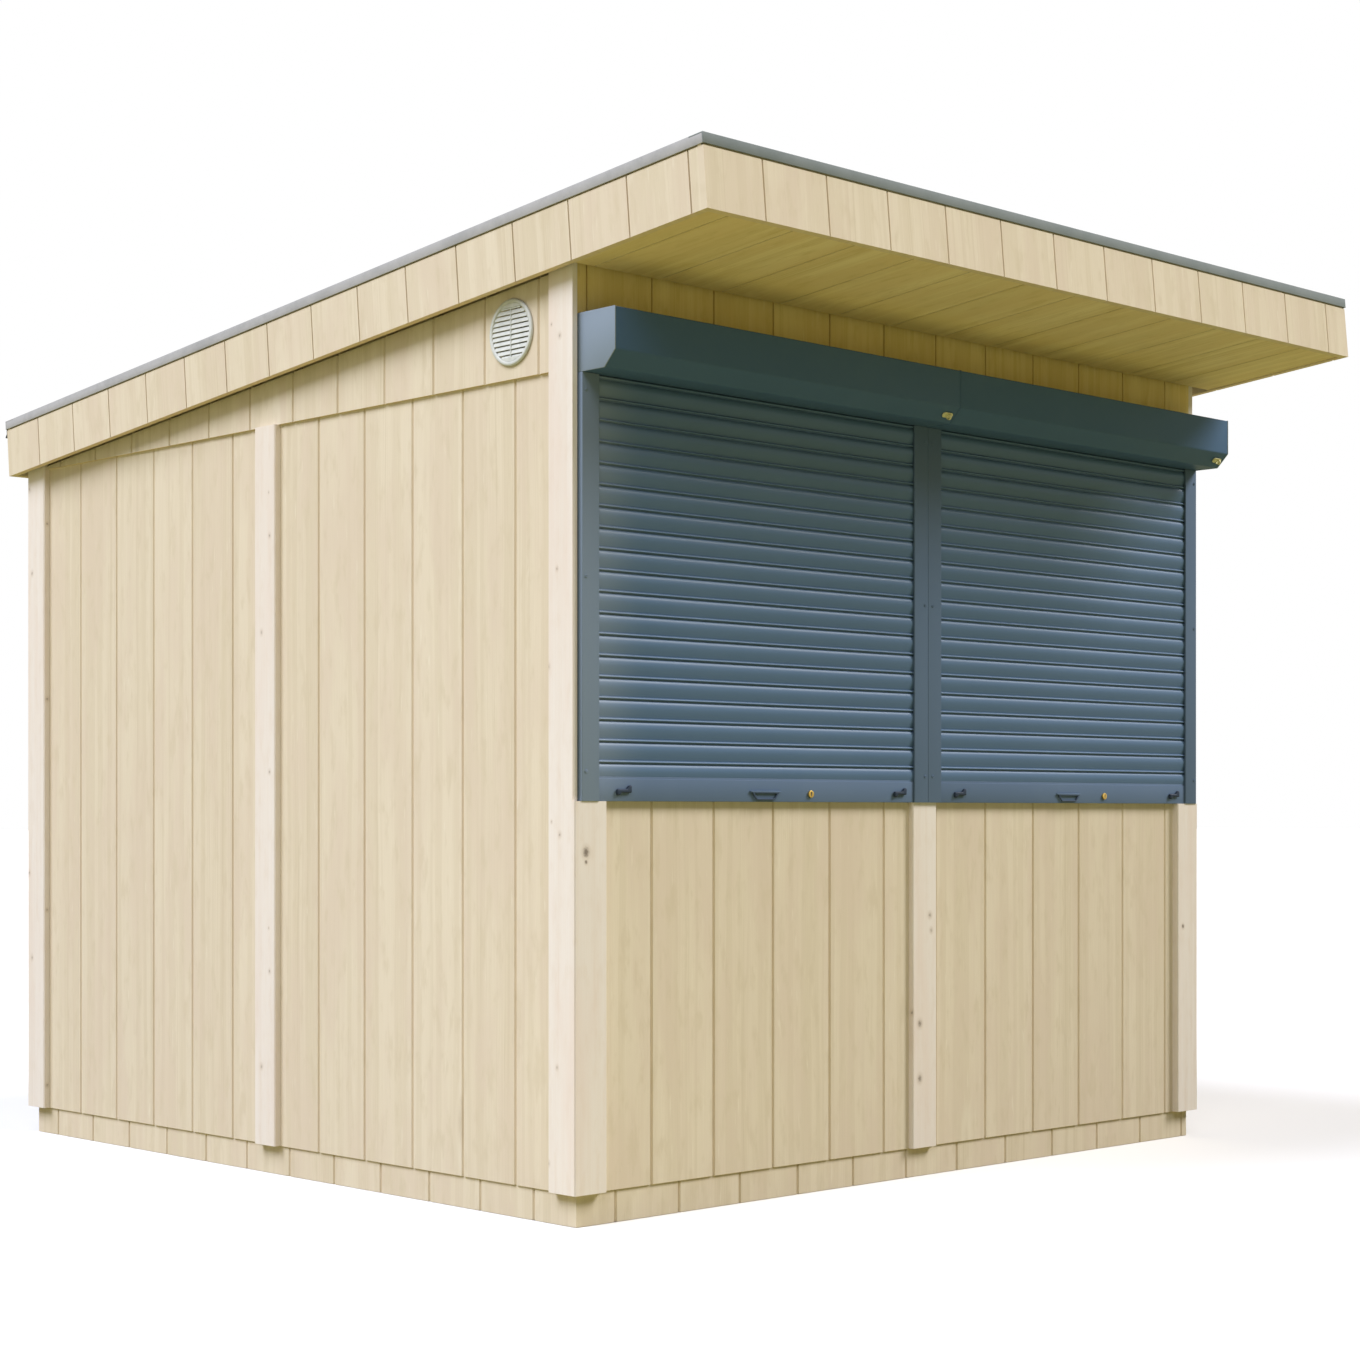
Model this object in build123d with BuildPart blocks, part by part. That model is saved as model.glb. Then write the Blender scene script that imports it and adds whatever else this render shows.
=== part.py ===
"""A timber market hut with a pent roof and two closed roller shutters over a boarded counter wall.

Lengths are in millimetres. X runs along the front from left to right, the front faces -Y, Z is up.
The origin is on the ground under the middle of the cabin.
"""

import math
import os

from build123d import *

# Cabin, measured over the faces of its boards
cabin_width = 2383.0
cabin_depth = 2515.0
wall_thickness = 60.0

# Base
plinth_height = 77.0
plinth_thickness = 30.0
plinth_recess = 5.0
floor_thickness = 24.0
bearer_width = 70.0
bearer_count = 3

# Boards that cover the corners and the sheet joints
cover_width = 98.0
cover_thickness = 19.0
mid_cover_width = 95.0
cover_ease = 3.0

# Gable strips over the side walls; the rise is taken at the inner face of the rear wall
gable_bottom = 1990.0
gable_proud = 8.0
gable_rear_rise = 81.4

# Round louvred vents in the gables
vent_diameter = 160.0
vent_rim = 11.0
vent_depth = 9.0
vent_rib = 4.0
vent_round = 4.0
vent_louvres = 12
vent_hole_share = 0.78
louvre_thickness_share = 0.45
vent_from_front = 224.0
vent_rise = 111.0

# Roof: the edges stand square to the slope, and depths count down from the top of the edge trim
roof_slope = 5.32
front_overhang = 490.0
rear_overhang = 84.0
left_overhang = 58.0
right_overhang = 79.0
trim_thickness = 3.0
trim_leg = 25.0
trim_flange = 45.0
skin_thickness = 4.0
fascia_height = 161.0
fascia_thickness = 19.0
deck_thickness = 80.0
soffit_thickness = 19.0
soffit_lift = 3.0
drip_reach = 11.0
drip_drop = 24.0
drip_sheet = 3.0

# Serving hatches in the front wall, their edges hidden behind the shutters
sill_rise = 12.0
lintel_drop = 14.0
jamb_width = 60.0

# Roller shutters, mounted on the face of the front wall
shutter_right_lap = 9.0
shutter_bottom = 988.0
rail_width = 53.0
rail_depth = 22.0
rail_slot_depth = 36.0
rail_lip = 5.0
rail_round = 2.0
box_drop = 11.0
box_size = 137.0
box_chamfer = 38.0
box_round = 3.0
bar_height = 58.0
bar_lip = 5.0
bar_lip_reach = 2.0

# One slat of the curtain, from the top: the curved face, the hook bead under it and the joint
slat_face = 36.7
slat_bead = 9.0
slat_joint = 4.0
slat_edge_depth = 2.5
slat_joint_depth = 5.0
slat_top_drop = 7.0

# Fittings on the shutters, their heights counted from the foot of the bottom bar
handle_length = 104.0
handle_drop = 22.0
handle_taper = 17.0
handle_bar = 7.0
handle_droop = 50.0
handle_rise = 25.0
handle_share = 0.496
lock_radius = 9.0
lock_reach = 5.0
lock_slot_width = 2.4
lock_slot_share = 0.62
lock_rise = 20.0
lock_share = 0.632
bolt_length = 46.0
bolt_bar = 9.0
bolt_reach = 8.0
bolt_knob = 9.0
bolt_tip = 6.0
bolt_rise = 24.0
bolt_inset = 106.0
bolt_far_inset = 86.0
eye_plate_length = 38.0
eye_plate_width = 16.0
eye_plate = 3.0
eye_radius = 8.0
eye_bore_share = 0.55
eye_ring = 5.0
eye_reach = 6.0
eye_inset = 34.0

# Cuts run past the faces they pierce by this much
overrun = 20.0

# Derived planes and places
left_x = -cabin_width / 2
right_x = cabin_width / 2
front_y = -cabin_depth / 2
rear_y = cabin_depth / 2
slope = math.radians(roof_slope)
box_bottom = gable_bottom - box_drop
lintel_height = box_bottom - lintel_drop
sill_height = shutter_bottom + sill_rise
vent_height = gable_bottom + vent_rise
shutter_unit_width = (cabin_width + shutter_right_lap) / 2
roof_left = left_x - left_overhang
roof_right = right_x + right_overhang
roof_length = (front_overhang + cabin_depth + rear_overhang) / math.cos(slope)
roof_front_y = front_y - front_overhang
fascia_top = trim_thickness + skin_thickness
fascia_bottom = fascia_top + fascia_height
deck_bottom = fascia_top + deck_thickness
deck_run = rear_y - wall_thickness - roof_front_y
deck_rise = deck_run * math.tan(slope) + deck_bottom / math.cos(slope)
roof_front_height = gable_bottom + gable_rear_rise + deck_rise
roof_plane = Plane(
    origin=(0, roof_front_y, roof_front_height),
    x_dir=(1, 0, 0),
    z_dir=(0, math.sin(slope), math.cos(slope)),
)
slot_front = front_y - rail_depth + rail_lip
slot_back = front_y - rail_lip
rail_top = box_bottom
bar_top = shutter_bottom + bar_height


def roof_height(y, depth):
    """Height at y of the plane that lies the given depth under the top of the roof's edge."""
    return roof_front_height - (y - roof_front_y) * math.tan(slope) - depth / math.cos(slope)


def wall_top(y):
    """Height at y where a wall meets the underside of the roof deck."""
    return roof_height(y, deck_bottom)


def save(piece, name):
    """Label a finished piece and write it under its own name."""
    piece.part.label = name
    export_step(piece.part, f"parts/{name}.step")


def ease(piece, axis, index):
    """Break the long arrises of the upright face at one end of the axis."""
    chamfer(piece.edges().filter_by(Axis.Z).group_by(axis)[index], cover_ease)


def slab(name, *spans, eased=None):
    """Square pieces, each given as its x, y and z spans."""
    with BuildPart() as piece:
        for (x0, x1), (y0, y1), (z0, z1) in spans:
            with BuildSketch(Plane.XY.offset(z0)):
                with Locations(((x0 + x1) / 2, (y0 + y1) / 2)):
                    Rectangle(x1 - x0, y1 - y0)
            extrude(amount=z1 - z0)
        if eased:
            ease(piece, *eased)
    save(piece, name)


def under_roof(name, bottom, *spans, eased=None):
    """Pieces, each given as its x and y spans, from the given height up to the roof deck."""
    with BuildPart() as piece:
        for (x0, x1), (y0, y1) in spans:
            with BuildSketch(Plane.YZ.offset(x0)):
                with BuildLine():
                    Polyline((y0, bottom), (y1, bottom), (y1, wall_top(y1)), (y0, wall_top(y0)), close=True)
                make_face()
            extrude(amount=x1 - x0)
        if eased:
            ease(piece, *eased)
    save(piece, name)


def roof_slab(name, *spans):
    """Pieces square to the roof, each given as its spans across, down the slope and in depth."""
    with BuildPart() as piece:
        for (x0, x1), (run0, run1), (depth0, depth1) in spans:
            with BuildSketch(roof_plane.offset(-depth1)):
                with Locations(((x0 + x1) / 2, (run0 + run1) / 2)):
                    Rectangle(x1 - x0, run1 - run0)
            extrude(amount=depth1 - depth0)
    save(piece, name)


def roof_profile(name, x_span, *points):
    """A piece with the given profile of runs and depths, drawn out across the roof."""
    with BuildPart() as piece:
        with BuildSketch(Plane.YZ.offset(x_span[0])):
            with BuildLine():
                corners = [roof_plane.from_local_coords((0, run, -depth)) for run, depth in points]
                Polyline(*[(corner.Y, corner.Z) for corner in corners], close=True)
            make_face()
        extrude(amount=x_span[1] - x_span[0])
    save(piece, name)


def mirrored(spans):
    """The same spans on the other side of the cabin."""
    (x0, x1), *rest = spans
    return ((-x1, -x0), *rest)


os.makedirs("parts", exist_ok=True)

# Plinth boards: the front and rear ones run through, the side ones fit between
plinth_left = left_x + plinth_recess
plinth_right = right_x - plinth_recess
plinth_front = front_y + plinth_recess
plinth_rear = rear_y - plinth_recess
plinth_x = (plinth_left, plinth_right)
plinth_y = (plinth_front, plinth_rear)
plinth_z = (0, plinth_height)
inner_x = (plinth_left + plinth_thickness, plinth_right - plinth_thickness)
inner_y = (plinth_front + plinth_thickness, plinth_rear - plinth_thickness)
slab("plinth_front", (plinth_x, (plinth_front, inner_y[0]), plinth_z))
slab("plinth_rear", (plinth_x, (inner_y[1], plinth_rear), plinth_z))
slab("plinth_left", ((plinth_left, inner_x[0]), inner_y, plinth_z))
slab("plinth_right", ((inner_x[1], plinth_right), inner_y, plinth_z))

# Floor deck level with the plinth, carried by bearers that run from front to rear
deck_z = (plinth_height - floor_thickness, plinth_height)
bearer_pitch = (inner_x[1] - inner_x[0] - bearer_width) / (bearer_count + 1)
bearers = []
for index in range(bearer_count):
    centre = (index - (bearer_count - 1) / 2) * bearer_pitch
    bearers.append(((centre - bearer_width / 2, centre + bearer_width / 2), inner_y, (0, deck_z[0])))
slab("floor_bearers", *bearers)
slab("floor_deck", (inner_x, inner_y, deck_z))

# Front wall: a lower panel under each hatch, jambs beside them and a header up to the roof
front_wall_y = (front_y, front_y + wall_thickness)
lower_z = (plinth_height, sill_height)
jamb_z = (sill_height, lintel_height)
slab("front_wall_lower_left", ((left_x, 0), front_wall_y, lower_z))
slab("front_wall_lower_right", ((0, right_x), front_wall_y, lower_z))
slab(
    "hatch_jambs",
    ((left_x, left_x + jamb_width), front_wall_y, jamb_z),
    ((-jamb_width, jamb_width), front_wall_y, jamb_z),
    ((right_x - jamb_width, right_x), front_wall_y, jamb_z),
)
under_roof("front_wall_header", lintel_height, ((left_x, right_x), front_wall_y))

# Rear wall in two panels up to the roof
rear_wall_y = (rear_y - wall_thickness, rear_y)
under_roof("rear_wall_left", plinth_height, ((left_x, 0), rear_wall_y))
under_roof("rear_wall_right", plinth_height, ((0, right_x), rear_wall_y))

# Side walls in two panels each, between the front and the rear wall
side_x = (left_x, left_x + wall_thickness)
side_z = (plinth_height, gable_bottom)
side_front = (side_x, (front_wall_y[1], 0), side_z)
side_rear = (side_x, (0, rear_wall_y[0]), side_z)
slab("left_wall_front", side_front)
slab("left_wall_rear", side_rear)
slab("right_wall_front", mirrored(side_front))
slab("right_wall_rear", mirrored(side_rear))

# Cover boards: at each corner one board on either face, the outer one lapping the other's edge
facing_front = (Axis.Y, 0)
facing_rear = (Axis.Y, -1)
facing_left = (Axis.X, 0)
facing_right = (Axis.X, -1)
corner_out = left_x - cover_thickness
corner_in = corner_out + cover_width
front_cover_y = (front_y - cover_thickness, front_y)
front_cover_z = (plinth_height, shutter_bottom)
front_cover = ((corner_out, corner_in), front_cover_y, front_cover_z)
slab("front_corner_boards", front_cover, mirrored(front_cover), eased=facing_front)
rear_cover_y = (rear_y, rear_y + cover_thickness)
rear_cover = ((corner_out, corner_in), rear_cover_y)
under_roof("rear_corner_boards", plinth_height, rear_cover, mirrored(rear_cover), eased=facing_rear)
side_cover_width = cover_width - cover_thickness
side_cover_x = (corner_out, left_x)
left_covers = [
    (side_cover_x, (front_y, front_y + side_cover_width)),
    (side_cover_x, (rear_y - side_cover_width, rear_y)),
]
right_covers = [mirrored(spans) for spans in left_covers]
under_roof("left_corner_boards", plinth_height, *left_covers, eased=facing_left)
under_roof("right_corner_boards", plinth_height, *right_covers, eased=facing_right)
mid_span = (-mid_cover_width / 2, mid_cover_width / 2)
side_mid = (side_cover_x, mid_span, side_z)
slab("front_mid_board", (mid_span, front_cover_y, front_cover_z), eased=facing_front)
under_roof("rear_mid_board", plinth_height, (mid_span, rear_cover_y), eased=facing_rear)
slab("left_mid_board", side_mid, eased=facing_left)
slab("right_mid_board", mirrored(side_mid), eased=facing_right)


def gable(name, side):
    """Board strip over a side wall, proud of it between the corner boards and holed for the vent."""
    inner = (side * (left_x + wall_thickness), front_wall_y[1], rear_wall_y[0])
    outer = (side * (left_x - gable_proud), front_y + side_cover_width, rear_y - side_cover_width)
    with BuildPart() as piece:
        for x, y0, y1 in (inner, outer):
            with BuildSketch(Plane.YZ.offset(side * left_x)):
                with BuildLine():
                    Polyline(
                        (y0, gable_bottom),
                        (y1, gable_bottom),
                        (y1, wall_top(y1)),
                        (y0, wall_top(y0)),
                        close=True,
                    )
                make_face()
            extrude(amount=x - side * left_x)
        with BuildSketch(Plane.YZ.offset(side * left_x)):
            with Locations((front_y + vent_from_front, vent_height)):
                Circle(vent_diameter * vent_hole_share / 2)
        extrude(amount=wall_thickness + overrun, both=True, mode=Mode.SUBTRACT)
    save(piece, name)


def vent(name, side):
    """Round vent: slanted louvres and an upright rib inside a flat rim."""
    face = side * (left_x - gable_proud)
    outward = -side
    centre = (front_y + vent_from_front, vent_height)
    radius = vent_diameter / 2
    inner_radius = radius - vent_rim
    pitch = 2 * inner_radius / vent_louvres
    thickness = pitch * louvre_thickness_share
    rear_z = centre[1] - inner_radius + (pitch - thickness) / 2
    plane = Plane.YZ.offset(face)
    with BuildPart() as piece:
        for index in range(vent_louvres):
            low = rear_z + index * pitch
            with BuildSketch(Plane.XZ.offset(-centre[0])):
                with BuildLine():
                    Polyline(
                        (face, low + pitch / 2),
                        (face + outward * vent_depth, low),
                        (face + outward * vent_depth, low + thickness),
                        (face, low + pitch / 2 + thickness),
                        close=True,
                    )
                make_face()
            extrude(amount=radius, both=True)
        with BuildSketch(plane):
            with Locations(centre):
                Rectangle(vent_rib, 2 * radius)
        extrude(amount=outward * vent_depth)
        with BuildSketch(plane):
            with Locations(centre):
                Circle(inner_radius)
        extrude(amount=outward * vent_depth, mode=Mode.INTERSECT)
        with BuildSketch(plane):
            with Locations(centre):
                Circle(radius)
                Circle(inner_radius, mode=Mode.SUBTRACT)
        extrude(amount=outward * vent_depth)
        front_edges = piece.edges().filter_by(GeomType.CIRCLE).group_by(Axis.X)[0 if outward < 0 else -1]
        fillet(front_edges.sort_by(SortBy.RADIUS)[-1], vent_round)
    save(piece, name)


gable("left_gable", 1)
gable("right_gable", -1)
vent("left_vent", 1)
vent("right_vent", -1)

# Roof, laid out across, down the slope and in depth under the top of its edge
fascia_left = roof_left + trim_thickness
fascia_right = roof_right - trim_thickness
fascia_x = (fascia_left, fascia_right)
fascia_front = trim_thickness
fascia_rear = roof_length - trim_thickness
fascia_run = (fascia_front, fascia_rear)
fascia_depth = (fascia_top, fascia_bottom)
box_x = (fascia_left + fascia_thickness, fascia_right - fascia_thickness)
box_run = (fascia_front + fascia_thickness, fascia_rear - fascia_thickness)
roof_slab("roof_skin", (fascia_x, fascia_run, (trim_thickness, fascia_top)))
roof_slab("roof_deck", (box_x, box_run, (fascia_top, deck_bottom)))
roof_slab("front_fascia", (fascia_x, (fascia_front, box_run[0]), fascia_depth))
roof_slab("rear_fascia", (fascia_x, (box_run[1], fascia_rear), fascia_depth))
roof_slab("left_fascia", ((fascia_left, box_x[0]), box_run, fascia_depth))
roof_slab("right_fascia", ((box_x[1], fascia_right), box_run, fascia_depth))

# Edge trim: a folded angle whose flange laps the skin and whose leg hangs over the fascia
trim_x = (roof_left, roof_right)
flange_depth = (0, trim_thickness)
leg_depth = (trim_thickness, trim_leg)
flange_run = (trim_flange, roof_length - trim_flange)
roof_slab(
    "front_edge_trim",
    (trim_x, (0, trim_flange), flange_depth),
    (trim_x, (0, fascia_front), leg_depth),
)
roof_slab(
    "rear_edge_trim",
    (trim_x, (flange_run[1], roof_length), flange_depth),
    (trim_x, (fascia_rear, roof_length), leg_depth),
)
roof_slab(
    "left_edge_trim",
    ((roof_left, roof_left + trim_flange), flange_run, flange_depth),
    ((roof_left, fascia_left), fascia_run, leg_depth),
)
roof_slab(
    "right_edge_trim",
    ((roof_right - trim_flange, roof_right), flange_run, flange_depth),
    ((fascia_right, roof_right), fascia_run, leg_depth),
)

# Rear drip: a strip under the trim that kicks out towards its foot
drip_foot = trim_leg + drip_drop
roof_profile(
    "rear_drip_lip",
    fascia_x,
    (fascia_rear, trim_leg),
    (fascia_rear + drip_sheet, trim_leg),
    (fascia_rear + drip_sheet, drip_foot - drip_reach),
    (fascia_rear + drip_reach, drip_foot - drip_sheet),
    (fascia_rear + drip_reach, drip_foot),
    (fascia_rear, drip_foot),
)

# Soffit under the canopy, from the front fascia back to the upright face of the header
soffit_low = fascia_bottom - soffit_lift
soffit_high = soffit_low - soffit_thickness
header_run = front_overhang / math.cos(slope)
roof_profile(
    "canopy_soffit",
    box_x,
    (box_run[0], soffit_low),
    (header_run - soffit_low * math.tan(slope), soffit_low),
    (header_run - soffit_high * math.tan(slope), soffit_high),
    (box_run[0], soffit_high),
)


def shutter_box(name, x0, x1):
    """Closed shutter housing, square with a chamfered lower front edge."""
    box_front = front_y - box_size
    box_top = box_bottom + box_size
    with BuildPart() as piece:
        with BuildSketch(Plane.YZ.offset(x0)):
            with BuildLine():
                Polyline(
                    (front_y, box_bottom),
                    (front_y, box_top),
                    (box_front, box_top),
                    (box_front, box_bottom + box_chamfer),
                    (box_front + box_chamfer, box_bottom),
                    close=True,
                )
            make_face()
        extrude(amount=x1 - x0)
        bends = piece.edges().filter_by(Axis.X).sort_by(Axis.Y)[:-2]
        fillet(bends, box_round)
    save(piece, name)


def guide_rails(name, x0, x1):
    """A pair of guide rails with the slots that hold the edges of the curtain."""
    with BuildPart() as piece:
        for outer, inward in ((x0, 1), (x1, -1)):
            inner = outer + inward * rail_width
            slot = inner - inward * rail_slot_depth
            with BuildSketch(Plane.XY.offset(shutter_bottom)):
                with BuildLine():
                    Polyline(
                        (outer, front_y),
                        (outer, front_y - rail_depth),
                        (inner, front_y - rail_depth),
                        (inner, slot_front),
                        (slot, slot_front),
                        (slot, slot_back),
                        (inner, slot_back),
                        (inner, front_y),
                        close=True,
                    )
                make_face()
            extrude(amount=rail_top - shutter_bottom)
        fillet(piece.edges().filter_by(Axis.Z).group_by(Axis.Y)[0], rail_round)
    save(piece, name)


def curtain(name, x0, x1):
    """Roller curtain: curved slats, each with a hook bead at its foot, from the box to the bottom bar."""
    edge = slot_front + slat_edge_depth
    root = slot_front + slat_joint_depth
    half = slat_face / 2
    radius = (half**2 + slat_edge_depth**2) / (2 * slat_edge_depth)
    with BuildPart() as piece:
        with BuildSketch(Plane.YZ.offset(x0)):
            with BuildLine():
                top = box_bottom - slat_top_drop
                Line((root, box_bottom), (root, top))
                while top > bar_top:
                    low = max(top - slat_face, bar_top)
                    middle = (top + low) / 2
                    axis_z = top - half
                    mid_y = slot_front + radius - math.sqrt(radius**2 - (middle - axis_z) ** 2)
                    low_y = slot_front + radius - math.sqrt(radius**2 - (low - axis_z) ** 2)
                    Line((root, top), (edge, top))
                    ThreePointArc((edge, top), (mid_y, middle), (low_y, low))
                    foot = max(low - slat_bead, bar_top)
                    if foot > bar_top:
                        ThreePointArc((low_y, low), (slot_front, (low + foot) / 2), (low_y, foot))
                    elif low > foot:
                        Line((low_y, low), (low_y, foot))
                    Line((low_y, foot), (root, foot))
                    top = max(foot - slat_joint, bar_top)
                    if top < foot:
                        Line((root, foot), (root, top))
                Polyline((root, bar_top), (slot_back, bar_top), (slot_back, box_bottom), (root, box_bottom))
            make_face()
        extrude(amount=x1 - x0)
    save(piece, name)


def bottom_bar(name, x0, x1):
    """Closing bar at the foot of the curtain, with a small lip along its top edge."""
    lip_y = bar_face + bar_lip_reach
    with BuildPart() as piece:
        with BuildSketch(Plane.YZ.offset(x0)):
            with BuildLine():
                Polyline(
                    (slot_back, shutter_bottom),
                    (bar_face, shutter_bottom),
                    (bar_face, bar_top - bar_lip),
                    (lip_y, bar_top - bar_lip),
                    (lip_y, bar_top),
                    (slot_back, bar_top),
                    close=True,
                )
            make_face()
        extrude(amount=x1 - x0)
    save(piece, name)


def place(x0, share):
    """Place across a shutter unit as a share of its width."""
    return x0 + share * shutter_unit_width


unit_lefts = (left_x, left_x + shutter_unit_width)
bar_face = slot_front
bar_plane = Plane.XZ.offset(-bar_face)
for side, x0 in zip(("left", "right"), unit_lefts):
    x1 = x0 + shutter_unit_width
    hidden = rail_width - rail_slot_depth
    shutter_box(f"{side}_shutter_box", x0, x1)
    guide_rails(f"{side}_guide_rails", x0, x1)
    curtain(f"{side}_shutter_curtain", x0 + hidden, x1 - hidden)
    bottom_bar(f"{side}_bottom_bar", x0 + hidden, x1 - hidden)

# Pull handles: a tapering bow that droops from each bottom bar, cut flush with the bar's face
droop = math.radians(handle_droop)
half_length = handle_length / 2
with BuildPart() as pull_handles:
    for x0 in unit_lefts:
        root_at = (place(x0, handle_share), bar_face, shutter_bottom + handle_rise)
        with BuildSketch(Plane(origin=root_at, x_dir=(1, 0, 0), z_dir=(0, math.sin(droop), -math.cos(droop)))):
            with BuildLine():
                Polyline(
                    (-half_length, -handle_bar),
                    (-half_length, 0),
                    (handle_taper - half_length, handle_drop),
                    (half_length - handle_taper, handle_drop),
                    (half_length, 0),
                    (half_length, -handle_bar),
                    (half_length - handle_bar, -handle_bar),
                    (half_length - handle_bar, 0),
                    (half_length - handle_taper - handle_bar / 2, handle_drop - handle_bar),
                    (handle_taper + handle_bar / 2 - half_length, handle_drop - handle_bar),
                    (handle_bar - half_length, 0),
                    (handle_bar - half_length, -handle_bar),
                    close=True,
                )
            make_face()
        extrude(amount=handle_bar / 2, both=True)
    split(bisect_by=bar_plane, keep=Keep.TOP)
save(pull_handles, "pull_handles")

# Lock cylinders in the bottom bars, each with a keyhole slot
with BuildPart() as lock_cylinders:
    for x0 in unit_lefts:
        lock_at = (place(x0, lock_share), shutter_bottom + lock_rise)
        with BuildSketch(bar_plane):
            with Locations(lock_at):
                Circle(lock_radius)
        extrude(amount=lock_reach)
        with BuildSketch(bar_plane.offset(lock_reach)):
            with Locations(lock_at):
                Rectangle(lock_slot_width, 2 * lock_radius * lock_slot_share)
        extrude(amount=-lock_reach / 2, mode=Mode.SUBTRACT)
save(lock_cylinders, "lock_cylinders")

# Slide bolts at both ends of each bottom bar: a rod with a finger knob up and a turned-down tip
with BuildPart() as slide_bolts:
    for x0 in unit_lefts:
        far = x0 + shutter_unit_width - bolt_far_inset
        for start in (x0 + bolt_inset, far - bolt_length):
            end = start + bolt_length
            middle = shutter_bottom + bolt_rise
            low = middle - bolt_bar / 2
            high = middle + bolt_bar / 2
            with BuildSketch(bar_plane):
                with BuildLine():
                    Polyline(
                        (start, low - bolt_tip),
                        (start + bolt_bar, low - bolt_tip),
                        (start + bolt_bar + bolt_tip, low),
                        (end, low),
                        (end, high + bolt_knob),
                        (end - bolt_bar, high + bolt_knob),
                        (end - bolt_bar - bolt_tip, high),
                        (start, high),
                        close=True,
                    )
                make_face()
            extrude(amount=bolt_reach)
save(slide_bolts, "slide_bolts")

# Brass crank eyes on the chamfer, near the right end of each box: a rounded plate and an upright ring
chamfer_y = front_y - box_size + box_chamfer / 2
chamfer_z = box_bottom + box_chamfer / 2
with BuildPart() as crank_eyes:
    for x0 in unit_lefts:
        eye_x = x0 + shutter_unit_width - eye_inset
        seat = Plane(origin=(eye_x, chamfer_y, chamfer_z), x_dir=(1, 0, 0), z_dir=(0, -1, -1))
        upright = Plane(origin=seat.origin, x_dir=seat.z_dir, z_dir=seat.x_dir)
        ring_at = (eye_plate + eye_reach, 0)
        with BuildSketch(seat):
            SlotOverall(eye_plate_length, eye_plate_width)
        extrude(amount=eye_plate)
        with BuildSketch(upright):
            with Locations(ring_at):
                Circle(eye_radius)
            with Locations((ring_at[0] / 2, 0)):
                Rectangle(ring_at[0], eye_radius)
            with Locations(ring_at):
                Circle(eye_radius * eye_bore_share, mode=Mode.SUBTRACT)
        extrude(amount=eye_ring / 2, both=True)
save(crank_eyes, "crank_eyes")
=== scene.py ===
# %% [markdown]
# # A timber market hut, dressed over its CAD frame
# The hut is a boarded cabin with a pent roof, a canopy and two closed roller shutters.
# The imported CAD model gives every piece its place. This lesson keeps the solids that are
# already right, and models the boards, slats and fittings that a plain solid can't show.

# %% Load the frame
import math
import random
from bisect import bisect_right

import bmesh
import bpy
from mathutils import Matrix, Vector


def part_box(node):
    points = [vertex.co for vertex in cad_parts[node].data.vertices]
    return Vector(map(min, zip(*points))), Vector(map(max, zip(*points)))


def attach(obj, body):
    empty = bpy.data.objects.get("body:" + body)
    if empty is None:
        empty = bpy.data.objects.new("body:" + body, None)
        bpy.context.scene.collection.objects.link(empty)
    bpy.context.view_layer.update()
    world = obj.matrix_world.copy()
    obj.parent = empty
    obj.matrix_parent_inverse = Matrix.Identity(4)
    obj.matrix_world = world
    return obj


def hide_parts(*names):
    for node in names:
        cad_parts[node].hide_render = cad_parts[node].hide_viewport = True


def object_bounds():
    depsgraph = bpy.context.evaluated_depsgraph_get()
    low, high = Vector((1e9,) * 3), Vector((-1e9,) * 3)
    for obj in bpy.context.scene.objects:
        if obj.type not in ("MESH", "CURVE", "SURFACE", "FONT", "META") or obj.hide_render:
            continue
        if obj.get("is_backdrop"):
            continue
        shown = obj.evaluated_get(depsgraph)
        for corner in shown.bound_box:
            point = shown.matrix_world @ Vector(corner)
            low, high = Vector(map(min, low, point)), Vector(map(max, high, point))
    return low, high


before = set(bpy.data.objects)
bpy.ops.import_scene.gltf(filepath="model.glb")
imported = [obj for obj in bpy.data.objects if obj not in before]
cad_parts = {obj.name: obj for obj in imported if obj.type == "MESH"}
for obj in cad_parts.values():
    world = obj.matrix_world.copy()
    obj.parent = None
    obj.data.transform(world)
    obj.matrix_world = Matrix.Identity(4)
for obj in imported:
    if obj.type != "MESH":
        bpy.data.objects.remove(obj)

cad_low, cad_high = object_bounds()
print("CAD box from", tuple(cad_low), "to", tuple(cad_high))

# %% [markdown]
# ## The camera
# The photograph was solved from the grooves of the boards: a level camera that looks across
# the near corner at about 45 degrees. A level camera keeps the upright edges upright, and the
# frame is then moved with the lens shift, as on a view camera.

# %% Camera
PHOTO_SIDE = 1360
FOCAL_PIXELS = 2514.42
LENS_CENTRE = (783.45, 812.75)
CAMERA_PLACE = (-4.9574, -5.7133, 0.9611)
HEADING = 44.921
SENSOR = 36.0
bpy.ops.object.select_all(action="DESELECT")
bpy.ops.object.camera_add(
    location=CAMERA_PLACE,
    rotation=(math.radians(90), 0, math.radians(-HEADING)),
)
camera = bpy.context.object
camera.name = "photo_camera"
camera.data.sensor_width = SENSOR
camera.data.lens = SENSOR * FOCAL_PIXELS / PHOTO_SIDE
camera.data.shift_x = (PHOTO_SIDE / 2 - LENS_CENTRE[0]) / PHOTO_SIDE
camera.data.shift_y = (LENS_CENTRE[1] - PHOTO_SIDE / 2) / PHOTO_SIDE
bpy.context.scene.camera = camera
print("lens", round(camera.data.lens, 2), "mm")

# %% [markdown]
# ## Wires: shader maths as plain Python
# A finish is easier to read as an expression than as a list of links. A Wire holds one socket.
# Adding or multiplying wires adds Math nodes, and every other node comes from one method.


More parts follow.
